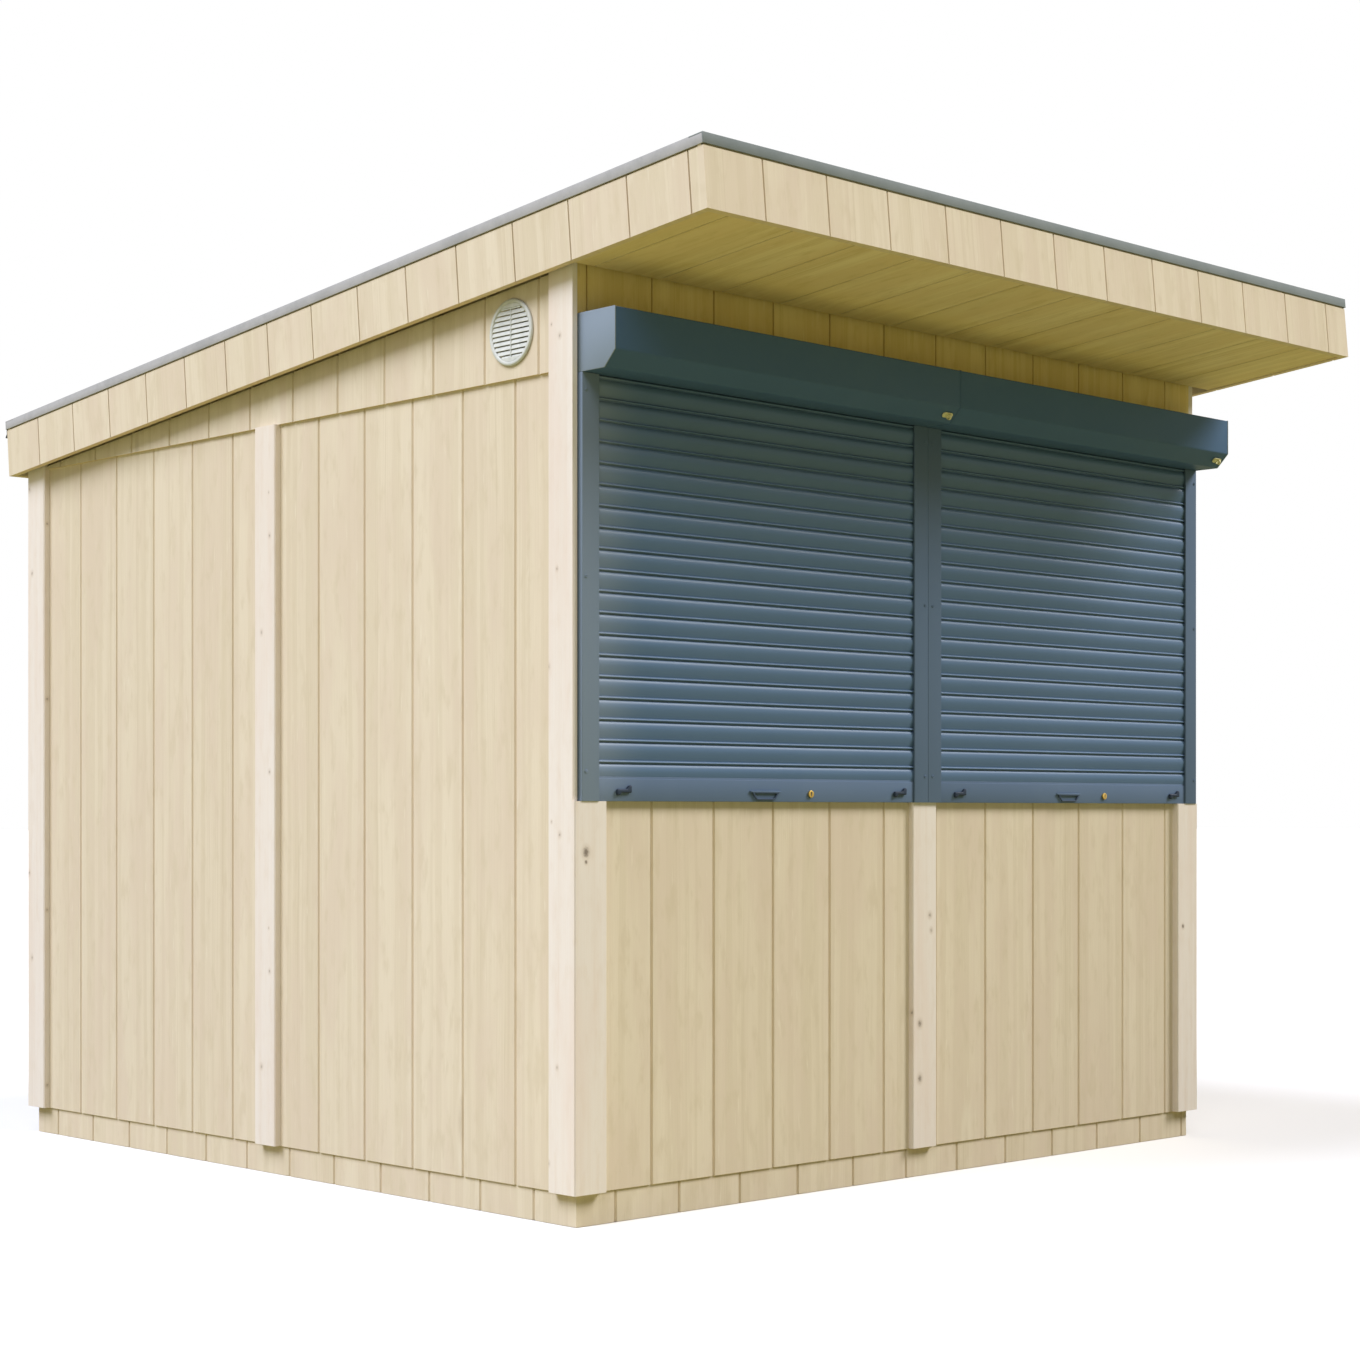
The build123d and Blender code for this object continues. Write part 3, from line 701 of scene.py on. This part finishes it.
# The boxes have a darker copy of the coat: painted shade, for the canopy's shade over them.
box_coat = coated_metal("box_coat", rgb(80, 107, 139), rgb(86, 112, 143), 0.4)
# The outer end plates have a paler copy of the coat: painted sheen and light on the side they face.
plate_coat = coated_metal("plate_coat", rgb(136, 150, 166), rgb(142, 156, 170), 0.42, 0.2)
pull_coat = coated_metal("pull_coat", rgb(66, 80, 100), rgb(74, 88, 106), 0.4, 0.12)
fitting_steel = coated_metal("fitting_steel", rgb(50, 60, 76), rgb(60, 72, 88), 0.4, 0.12)
# The front roof edge is the same sheet in a darker grey: painted shade on the side that faces the
# front.
front_sheet = bare_metal("front_sheet", rgb(134, 141, 142), rgb(126, 134, 135), 0.5, 0.0, 0.1)
edge_sheet = bare_metal("edge_sheet", rgb(182, 181, 182), rgb(168, 168, 169), 0.5, 0.0, 0.15)
lock_brass = bare_metal("lock_brass", rgb(214, 180, 98), rgb(190, 154, 78), 0.3)
eye_brass = bare_metal("eye_brass", rgb(226, 220, 172), rgb(208, 200, 146), 0.35, 0.25)
print("metals ready")

# %% [markdown]
# ## Metal pieces with broken edges
# A folded or extruded edge is never quite sharp, and its small round catches the light. Each
# metal solid is copied, its flat triangles are dissolved into whole faces, and a narrow bevel
# is applied to the edges that turn by more than thirty degrees.

# %% Broken edges
SHARP_TURN = math.radians(30)
SMOOTH_TURN = math.radians(35)
FLAT_TURN = math.radians(0.6)


def bevelled(piece, width, segments=2):
    """Apply a bevel to the sharp edges of a piece."""
    only(piece)
    bevel = piece.modifiers.new("edges", "BEVEL")
    bevel.width = width
    bevel.segments = segments
    bevel.limit_method = "ANGLE"
    bevel.angle_limit = SHARP_TURN
    bpy.ops.object.modifier_apply(modifier=bevel.name)
    bpy.ops.object.shade_smooth_by_angle(angle=SMOOTH_TURN)
    return piece


def broken_edges(name, node, width, segments=2):
    """A copy of a CAD solid with a narrow bevel on its sharp edges."""
    piece = cad_copy(name, node)
    bpy.ops.object.mode_set(mode="EDIT")
    bpy.ops.mesh.select_all(action="SELECT")
    bpy.ops.mesh.dissolve_limited(angle_limit=FLAT_TURN)
    bpy.ops.object.mode_set(mode="OBJECT")
    return bevelled(piece, width, segments)


for side in ("left", "right"):
    rails = broken_edges(f"{side}_rails", f"{side}_guide_rails", 0.0006)
    settle(rails, "shutter_metal", shutter_coat, f"{side}_guide_rails")
    bar = broken_edges(f"{side}_closing_bar", f"{side}_bottom_bar", 0.0008)
    settle(bar, "shutter_metal", shutter_coat, f"{side}_bottom_bar")
for side in ("front", "rear", "left", "right"):
    node = f"{side}_edge_trim"
    # The front edge takes the darker sheet with painted shade.
    sheet = front_sheet if side == "front" else edge_sheet
    settle(broken_edges(f"{side}_roof_edge", node, 0.0007), "edge_metal", sheet, node)
settle(broken_edges("bolts", "slide_bolts", 0.0034, 4), "dark_steel", fitting_steel, "slide_bolts")
settle(broken_edges("locks", "lock_cylinders", 0.0008), "brass", lock_brass, "lock_cylinders")
settle(broken_edges("eyes", "crank_eyes", 0.0007), "brass", eye_brass, "crank_eyes")
print("rails, bars, roof edges, bolts, locks and eyes have broken edges")

# %% [markdown]
# ## Drawn-out profiles
# Slats and housings have one outline along their whole length. The outline starts as a circle
# with as many points as it has corners. The points are moved to the corners, and the filled
# face is extruded along the length.


# %% Profiles
def flat_outline(name, corners, fill="NGON"):
    """A flat piece with the given corners, filled or as a bare ring of edges."""
    bpy.ops.object.select_all(action="DESELECT")
    bpy.ops.mesh.primitive_circle_add(vertices=len(corners), radius=1.0, fill_type=fill)
    piece = bpy.context.object
    piece.name = name
    for vertex, corner in zip(piece.data.vertices, corners):
        vertex.co = corner
    return piece


def thickened(piece, length):
    """Draw a flat piece out along a vector."""
    only(piece)
    bpy.ops.object.mode_set(mode="EDIT")
    bpy.ops.mesh.select_all(action="SELECT")
    bpy.ops.mesh.extrude_region_move(TRANSFORM_OT_translate={"value": length})
    bpy.ops.mesh.select_all(action="SELECT")
    bpy.ops.mesh.normals_make_consistent(inside=False)
    bpy.ops.object.mode_set(mode="OBJECT")
    return piece


def drawn_out(name, corners, length):
    """A bar whose outline has the given corners, drawn out along a vector."""
    return thickened(flat_outline(name, corners), length)


def along_x(name, outline, x0, x1):
    """A bar with an outline of (y, z) corners, from x0 to x1."""
    return drawn_out(name, [(x0, y, z) for y, z in outline], (x1 - x0, 0, 0))


def joined(first, *others):
    """Join pieces into the first one."""
    only(first)
    for other in others:
        other.select_set(True)
    bpy.ops.object.join()
    return first


def bow(start, pull, end, steps):
    """Points of a curve from start to end that leans towards a third point, without its end."""
    points = []
    for i in range(steps):
        t = i / steps
        shares = ((1 - t) ** 2, 2 * t * (1 - t), t ** 2)
        terms = list(zip(shares, (start, pull, end)))
        points.append(tuple(sum(share * point[k] for share, point in terms) for k in (0, 1)))
    return points


print("profile tools ready")

# %% [markdown]
# ## Roller curtains
# A slat leans out from its top, turns under towards its foot, and ends in a round hook bead over a
# dark joint. The lean matters: the light from above catches the top of each slat and its bead,
# and the foot stays dark. One slat is drawn out and an Array modifier repeats it downwards. One bisect
# cuts the top slat where it comes out of the box, another the lowest where it enters the closing bar.

# %% Curtains
SLAT_PITCH = 0.0497
SLAT_SHIFT = 0.0090
# A slat's outline in millimetres: how far behind the curtain's face, and how far below its top.
SLAT_ROOT = 6.4
SLAT_TOP = (5.0, 0.0)
SLAT_CROWN = (0.0, 14.8)
SLAT_FOOT = (5.1, 40.8)
BEAD_TOP = (4.6, 41.1)
BEAD_NOSE = (0.0, 45.0)
BEAD_FOOT = (2.6, 46.5)
slat = [(SLAT_ROOT, 0.0)]
slat += bow(SLAT_TOP, (0.2, 4.6), SLAT_CROWN, 8)
slat += bow(SLAT_CROWN, (0.0, 23.2), SLAT_FOOT, 8)
slat += [SLAT_FOOT]
slat += bow(BEAD_TOP, (0.0, 42.1), BEAD_NOSE, 6)
slat += bow(BEAD_NOSE, (0.0, 46.5), BEAD_FOOT, 4)
slat += [BEAD_FOOT, (SLAT_ROOT, BEAD_FOOT[1]), (SLAT_ROOT, SLAT_PITCH * 1000)]
for side in ("left", "right"):
    node = f"{side}_shutter_curtain"
    low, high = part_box(node)
    top = high.z - SLAT_SHIFT + SLAT_PITCH
    outline = [(low.y + back / 1000, top - down / 1000) for back, down in slat]
    outline += [(high.y, top - SLAT_PITCH), (high.y, top)]
    curtain = along_x(f"{side}_curtain", outline, low.x, high.x)
    only(curtain)
    rows = curtain.modifiers.new("rows", "ARRAY")
    rows.use_relative_offset = False
    rows.use_constant_offset = True
    rows.constant_offset_displace = (0, 0, -SLAT_PITCH)
    rows.count = math.ceil((top - low.z) / SLAT_PITCH)
    bpy.ops.object.modifier_apply(modifier=rows.name)
    bpy.ops.object.mode_set(mode="EDIT")
    bpy.ops.mesh.select_all(action="SELECT")
    bpy.ops.mesh.bisect(plane_co=(0, 0, low.z), plane_no=Z_AXIS, use_fill=True, clear_inner=True)
    bpy.ops.mesh.select_all(action="SELECT")
    bpy.ops.mesh.bisect(plane_co=(0, 0, high.z), plane_no=Z_AXIS, use_fill=True, clear_outer=True)
    bpy.ops.object.mode_set(mode="OBJECT")
    bpy.ops.object.shade_smooth_by_angle(angle=math.radians(40))
    settle(curtain, "shutter_slats", slat_coat, node)
    print(curtain.name, "faces:", len(curtain.data.polygons))

# %% [markdown]
# ## Shutter boxes
# Each housing is a bent sheet between two end plates. The sheet is drawn out a little smaller than
# the CAD outline, and the plates are full size with a bevel, so a fine shadow line runs
# round each end and between the two boxes.

# %% Boxes
PLATE = 0.0035
PLATE_ROUND = 0.0016
CHAMFER = 0.038
CHAMFER_INSET = 0.4
SHEET_INSET = 0.0008
SHEET_SHORT = 0.002
SHEET_ROUND = 0.003


def box_outline(low, high, inset):
    """The (y, z) corners of a housing, with a chamfer below its front."""
    chamfer = CHAMFER - inset * CHAMFER_INSET
    y0 = low.y + inset
    z0 = low.z + inset
    z1 = high.z - inset
    return [(high.y, z0), (high.y, z1), (y0, z1), (y0, z0 + chamfer), (y0 + chamfer, z0)]


for side in ("left", "right"):
    node = f"{side}_shutter_box"
    low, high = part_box(node)
    outline = box_outline(low, high, SHEET_INSET)
    sheet = along_x(f"{side}_box_sheet", outline, low.x + SHEET_SHORT, high.x - SHEET_SHORT)
    # The box sheet takes the darker coat with painted shade.
    settle(bevelled(sheet, SHEET_ROUND, 3), "shutter_metal", box_coat, node)
    # The outer plates take the paler coat, a painted sheen; the inner plates take the box's coat.
    ends = (("outer", low.x, plate_coat), ("inner", high.x - PLATE, box_coat))
    if side == "right":
        ends = (("inner", low.x, box_coat), ("outer", high.x - PLATE, plate_coat))
    for end, x, finish in ends:
        plate = along_x(f"{side}_box_{end}_plate", box_outline(low, high, 0.0), x, x + PLATE)
        settle(bevelled(plate, PLATE_ROUND), "shutter_metal", finish, node)
    print(sheet.name, "faces:", len(sheet.data.polygons))

# %% [markdown]
# ## Rail screws
# The rails are screwed to the wall at three heights. One pan-head screw is made from a cylinder:
# the face is inset and raised to a dome, then inset again and pushed in for the drive.

# %% Screws
SCREW_RADIUS = 0.0042
SCREW_HEIGHT = 0.0013
SCREW_COLUMNS = (-1.179, -0.008, 0.022, 1.1885)
SCREW_LEVELS = (1.057, 1.508, 1.939)


def pan_screw(name, centre, radius, height):
    """A pan-head screw that looks along -Y, with its seat at the centre."""
    bpy.ops.object.select_all(action="DESELECT")
    bpy.ops.mesh.primitive_cylinder_add(
        vertices=20, radius=radius, depth=height, rotation=(math.radians(90), 0, 0)
    )
    piece = bpy.context.object
    piece.name = name
    piece.location = Vector(centre) - Vector((0, height / 2, 0))
    bpy.ops.object.transform_apply(location=True, rotation=True, scale=True)
    bpy.ops.object.mode_set(mode="EDIT")
    pick(piece, "FACE", lambda f: f.normal.y < -0.9)
    bpy.ops.mesh.inset(thickness=radius * 0.3)
    bpy.ops.transform.translate(value=(0, -height * 0.35, 0))
    bpy.ops.mesh.inset(thickness=radius * 0.28)
    bpy.ops.mesh.inset(thickness=radius * 0.06)
    bpy.ops.transform.translate(value=(0, height * 0.7, 0))
    bpy.ops.object.mode_set(mode="OBJECT")
    bpy.ops.object.shade_smooth_by_angle(angle=math.radians(40))
    return piece


def copies_at(first, offsets):
    """Copies of a piece, each with its own mesh, joined with it into one."""
    copies = []
    for offset in offsets:
        copy = bpy.data.objects.new(first.name, first.data.copy())
        bpy.context.scene.collection.objects.link(copy)
        copy.data.transform(Matrix.Translation(offset))
        copies.append(copy)
    return joined(first, *copies)


rail_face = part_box("left_guide_rails")[0].y
seats = [Vector((x, rail_face, z)) for x in SCREW_COLUMNS for z in SCREW_LEVELS]
rail_screws = pan_screw("rail_screws", seats[0], SCREW_RADIUS, SCREW_HEIGHT)
copies_at(rail_screws, [seat - seats[0] for seat in seats[1:]])
settle(rail_screws, "shutter_metal", shutter_coat)
print("rail screws:", len(seats))

# %% [markdown]
# ## Corner laths
# Beside each outer rail a slim lath closes the corner, 10 mm proud of the front boards and flush with
# the board round the corner. It stops short of the rail, which leaves a dark line. A lath is drawn
# out from a square outline and keeps sharp edges, so that no seam shows against the board.

# %% Corner laths
CABIN_X = 1.1915
CABIN_Y = 1.2575
LATH_WIDTH = 0.0145
LATH_PROUD = 0.010
LATH_TOP_GAP = 0.002
COVER_PROUD = 0.019
shutter_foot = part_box("left_bottom_bar")[0].z
left_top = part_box("front_wall_header")[1].z - LATH_TOP_GAP
right_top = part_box("left_shutter_box")[0].z
laths = []
for side, lath_top in ((-1, left_top), (1, right_top)):
    outer = side * (CABIN_X + COVER_PROUD)
    square = [(outer, -CABIN_Y - LATH_PROUD), (outer - side * LATH_WIDTH, -CABIN_Y - LATH_PROUD)]
    square += [(outer - side * LATH_WIDTH, -CABIN_Y), (outer, -CABIN_Y)]
    foot = [(x, y, shutter_foot) for x, y in square]
    laths.append(drawn_out("corner_laths", foot, (0, 0, lath_top - shutter_foot)))
settle(joined(*laths), "cover_boards", planed_spruce)
print("laths:", len(laths))

# %% [markdown]
# ## Pulls and keyways
# Each shutter has a straight bar with a flat loop that hangs from it. The loop starts as a filled
# six-sided face. An inset leaves its wire, the middle is deleted, and the rest is extruded and
# bevelled. A dark keyway goes on each brass lock, because its slot is too fine to see from afar.

# %% Pulls and keyways
PULL_CENTRES = (-0.5965, 0.5980)
PULL_TOP = 1.0130
PULL_BAR_HALF = 0.052
PULL_BAR_ROUND = 0.001
# A pull bar's outline in millimetres: how far out from the closing bar, and how far up.
PULL_BAR = ((-1.0, -2.5), (-1.0, 2.5), (6.0, 2.0), (6.0, -1.5))
PULL_HALF = 0.0485
PULL_FOOT = 0.031
PULL_DROP = 0.021
PULL_BEND = 0.004
PULL_WIRE = 0.0042
PULL_ROUND = 0.0013
PULL_PROUD = 0.0015
# A keyway's outline in millimetres: how far aside and how far up from the lock's middle.
KEYWAY = ((-1.6, -5.8), (1.6, -5.8), (2.2, 5.2), (-2.2, 5.2))
KEYWAY_THICK = 0.0004
KEYWAY_ROUND = 0.0001
bar_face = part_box("left_bottom_bar")[0].y
loop_half = [(PULL_FOOT, -PULL_DROP), (PULL_FOOT + PULL_BEND, PULL_BEND - PULL_DROP), (PULL_HALF, 0)]
loop_outline = [(-across, up) for across, up in reversed(loop_half)] + loop_half
bars = []
loops = []
for x in PULL_CENTRES:
    outline = [(bar_face - out / 1000, PULL_TOP + up / 1000) for out, up in PULL_BAR]
    bar = along_x("pull_bars", outline, x - PULL_BAR_HALF, x + PULL_BAR_HALF)
    bars.append(bevelled(bar, PULL_BAR_ROUND))
    corners = [(x + across, bar_face - PULL_PROUD, PULL_TOP + up) for across, up in loop_outline]
    loop = flat_outline("pulls", corners)
    bpy.ops.object.mode_set(mode="EDIT")
    bpy.ops.mesh.select_all(action="SELECT")
    bpy.ops.mesh.inset(thickness=PULL_WIRE)
    bpy.ops.mesh.delete(type="FACE")
    bpy.ops.object.mode_set(mode="OBJECT")
    loops.append(bevelled(thickened(loop, (0, -PULL_WIRE, 0)), PULL_ROUND, 3))
settle(joined(*bars), "shutter_metal", shutter_coat)
settle(joined(*loops), "dark_steel", pull_coat, "pull_handles")
lock_low, lock_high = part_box("lock_cylinders")
lock_half = (lock_high.z - lock_low.z) / 2
keyways = []
for x in (lock_low.x + lock_half, lock_high.x - lock_half):
    y = lock_low.y + KEYWAY_THICK
    z = lock_low.z + lock_half
    corners = [(x + aside / 1000, y, z + up / 1000) for aside, up in KEYWAY]
    keyway = drawn_out("keyways", corners, (0, -KEYWAY_THICK, 0))
    keyways.append(bevelled(keyway, KEYWAY_ROUND, 1))
settle(joined(*keyways), "dark_steel", fitting_steel)
print("pulls and keyways:", len(loops), len(keyways))

# %% [markdown]
# ## Round vents
# Each gable has a round vent of white, slightly chalky plastic. It has a rolled rim, sloping louvres,
# one upright rib, and a plain cap at its top and foot. The rim is an outline spun round the vent's
# axis. The louvres are short bars, each as long as the circle is wide at its height.

# %% Vents
VENT_PROUD = 0.0072
# The rim's outline in millimetres: how far out from the wall, and how far in from the edge.
RIM_TOP = (5.2, 5.0)
RIM_LIP = (3.2, 10.7)
RIM = bow((0.0, 0.0), (5.2, 0.0), RIM_TOP, 4)
RIM += bow(RIM_TOP, (5.2, 10.0), RIM_LIP, 4)
RIM += [RIM_LIP, (-2.0, 11.2)]
RIM_STEPS = 64
RIM_WIDTH = 0.0105
RIM_MERGE = 0.00005
# A louvre's outline in millimetres: how far out from the wall, and how far above its middle.
LOUVRE = ((2.4, -5.0), (3.5, -4.3), (0.9, 5.0), (-0.6, 5.0))
LOUVRE_PITCH = 0.0119
LOUVRES_EACH_WAY = 5
CAP_TURN = 32
CAP_STEP = 4
CAP_SEAT = 0.001
CAP_THICK = 0.0035
# The rib's outline in millimetres: how far out from the wall, and how far aside.
RIB = ((-2.0, -1.3), (4.0, -1.3), (4.0, 1.3), (-2.0, 1.3))


def vent(node, side):
    """A louvred vent in place of a CAD vent; side is -1 for the left gable."""
    low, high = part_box(node)
    middle = (low + high) / 2
    reach = (high.y - low.y) / 2
    wall = (low.x if side < 0 else high.x) - side * VENT_PROUD
    top = middle.z + reach
    corners = [(wall + side * out / 1000, middle.y, top - inward / 1000) for out, inward in RIM]
    ring = flat_outline(node + "_dressed", corners, "NOTHING")
    bpy.ops.object.mode_set(mode="EDIT")
    bpy.ops.mesh.select_all(action="SELECT")
    turn = math.radians(360)
    bpy.ops.mesh.spin(steps=RIM_STEPS, angle=turn, center=(wall, middle.y, middle.z), axis=X_AXIS)
    bpy.ops.mesh.select_all(action="SELECT")
    bpy.ops.mesh.remove_doubles(threshold=RIM_MERGE)
    bpy.ops.mesh.normals_make_consistent(inside=False)
    bpy.ops.object.mode_set(mode="OBJECT")
    bpy.ops.object.shade_smooth_by_angle(angle=math.radians(50))
    parts = []
    inner = reach - RIM_WIDTH
    for step in range(-LOUVRES_EACH_WAY, LOUVRES_EACH_WAY + 1):
        z = middle.z + step * LOUVRE_PITCH
        half = math.sqrt(inner ** 2 - (z - middle.z) ** 2)
        corners = [(wall + side * out / 1000, middle.y - half, z + up / 1000) for out, up in LOUVRE]
        parts.append(drawn_out("louvre", corners, (0, 2 * half, 0)))
    turns = [math.radians(degrees) for degrees in range(-CAP_TURN, CAP_TURN + 1, CAP_STEP)]
    for up in (-1, 1):
        cap = [(middle.y + inner * math.sin(t), middle.z + up * inner * math.cos(t)) for t in turns]
        corners = [(wall + side * CAP_SEAT, y, z) for y, z in cap]
        parts.append(drawn_out("cap", corners, (side * CAP_THICK, 0, 0)))
    foot = middle.z - inner
    corners = [(wall + side * out / 1000, middle.y + aside / 1000, foot) for out, aside in RIB]
    parts.append(drawn_out("rib", corners, (0, 0, 2 * inner)))
    return joined(ring, *parts)


vent_plastic, shader, wire = new_finish("vent_plastic", Specular_IOR_Level=0.45)
chalk = wire.place().noise(60.0, 3.0)
white = chalk.between(0.35, 0.75).blend(rgb(212, 214, 210), rgb(200, 203, 198))
wire.feed(shader.inputs["Base Color"], white)
wire.feed(shader.inputs["Roughness"], 0.38 + chalk * 0.2)
for node, side in (("left_vent", -1), ("right_vent", 1)):
    dressed_vent = settle(vent(node, side), "vent_plastic", vent_plastic, node)
    print(dressed_vent.name, "faces:", len(dressed_vent.data.polygons))

# %% [markdown]
# ## Roof, floor and frame
# The last solids stay as they are and only get a finish. The roof skin is a dark rubber membrane with
# dust in its hollows. The deck shows only as a strip behind the side fascias, and its dark umber is
# painted shade, for the shade in that gap. The floor, bearers and hatch frame are plain timber, out of
# sight inside.


# %% Rubber and plain timber
def dark_rubber(name, tone, dusty, grit):
    """A matt membrane with a film of dust and a fine grit."""
    finish, shader, wire = new_finish(name, Specular_IOR_Level=0.3)
    place = wire.place()
    film = place.noise(2.6, 4.0, 0.6) * 0.55 + place.noise(34.0, 5.0, 0.7) * 0.45
    grain = place.noise(grit, 2.0)
    wire.feed(shader.inputs["Base Color"], film.between(0.4, 0.75).blend(tone, dusty))
    wire.feed(shader.inputs["Roughness"], 0.62 + film * 0.25)
    wire.feed(shader.inputs["Normal"], grain.bump(0.25, 0.0006))
    return finish


roof_rubber = dark_rubber("roof_rubber", rgb(62, 63, 66), rgb(88, 88, 88), 520.0)
lip_rubber = dark_rubber("lip_rubber", rgb(22, 22, 24), rgb(32, 32, 33), 700.0)

plain_timber, shader, wire = new_finish("plain_timber", Specular_IOR_Level=0.3)
fibre = wire.place().stretched(160, 5, 160).noise(1.0, 3.0, 0.6)
straw = fibre.between(0.3, 0.75).blend(rgb(216, 198, 164), rgb(192, 170, 130))
wire.feed(shader.inputs["Base Color"], straw)
wire.feed(shader.inputs["Roughness"], 0.6 + fibre * 0.2)

# The deck's dark umber is painted shade: it stands in for the shade in the gap behind the side
# fascias.
eave_timber, shader, wire = new_finish("eave_timber", Specular_IOR_Level=0.2, Roughness=0.8)
shade = wire.place().stretched(40, 3, 40).noise(1.0, 3.0, 0.6)
umber = shade.between(0.3, 0.75).blend(rgb(112, 94, 62), rgb(92, 76, 48))
wire.feed(shader.inputs["Base Color"], umber)

plain_finishes = {
    "roof_skin": roof_rubber,
    "rear_drip_lip": lip_rubber,
    "roof_deck": eave_timber,
    "floor_deck": plain_timber,
    "floor_bearers": plain_timber,
    "hatch_jambs": plain_timber,
}
for node, finish in plain_finishes.items():
    dress(node, finish)
print("plain finishes:", len(plain_finishes))

# %% [markdown]
# ## Finish
# The picture is shown with the Standard view, so a colour renders about as it is written. The box of
# the dressed hut is computed again; looks never change the size.

# %% Finish
bpy.context.scene.view_settings.view_transform = "Standard"
low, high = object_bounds()
shown = [o for o in bpy.data.objects if o.type == "MESH" and not o.hide_render and o != floor]
print("triangles:", sum(len(p.vertices) - 2 for o in shown for p in o.data.polygons))
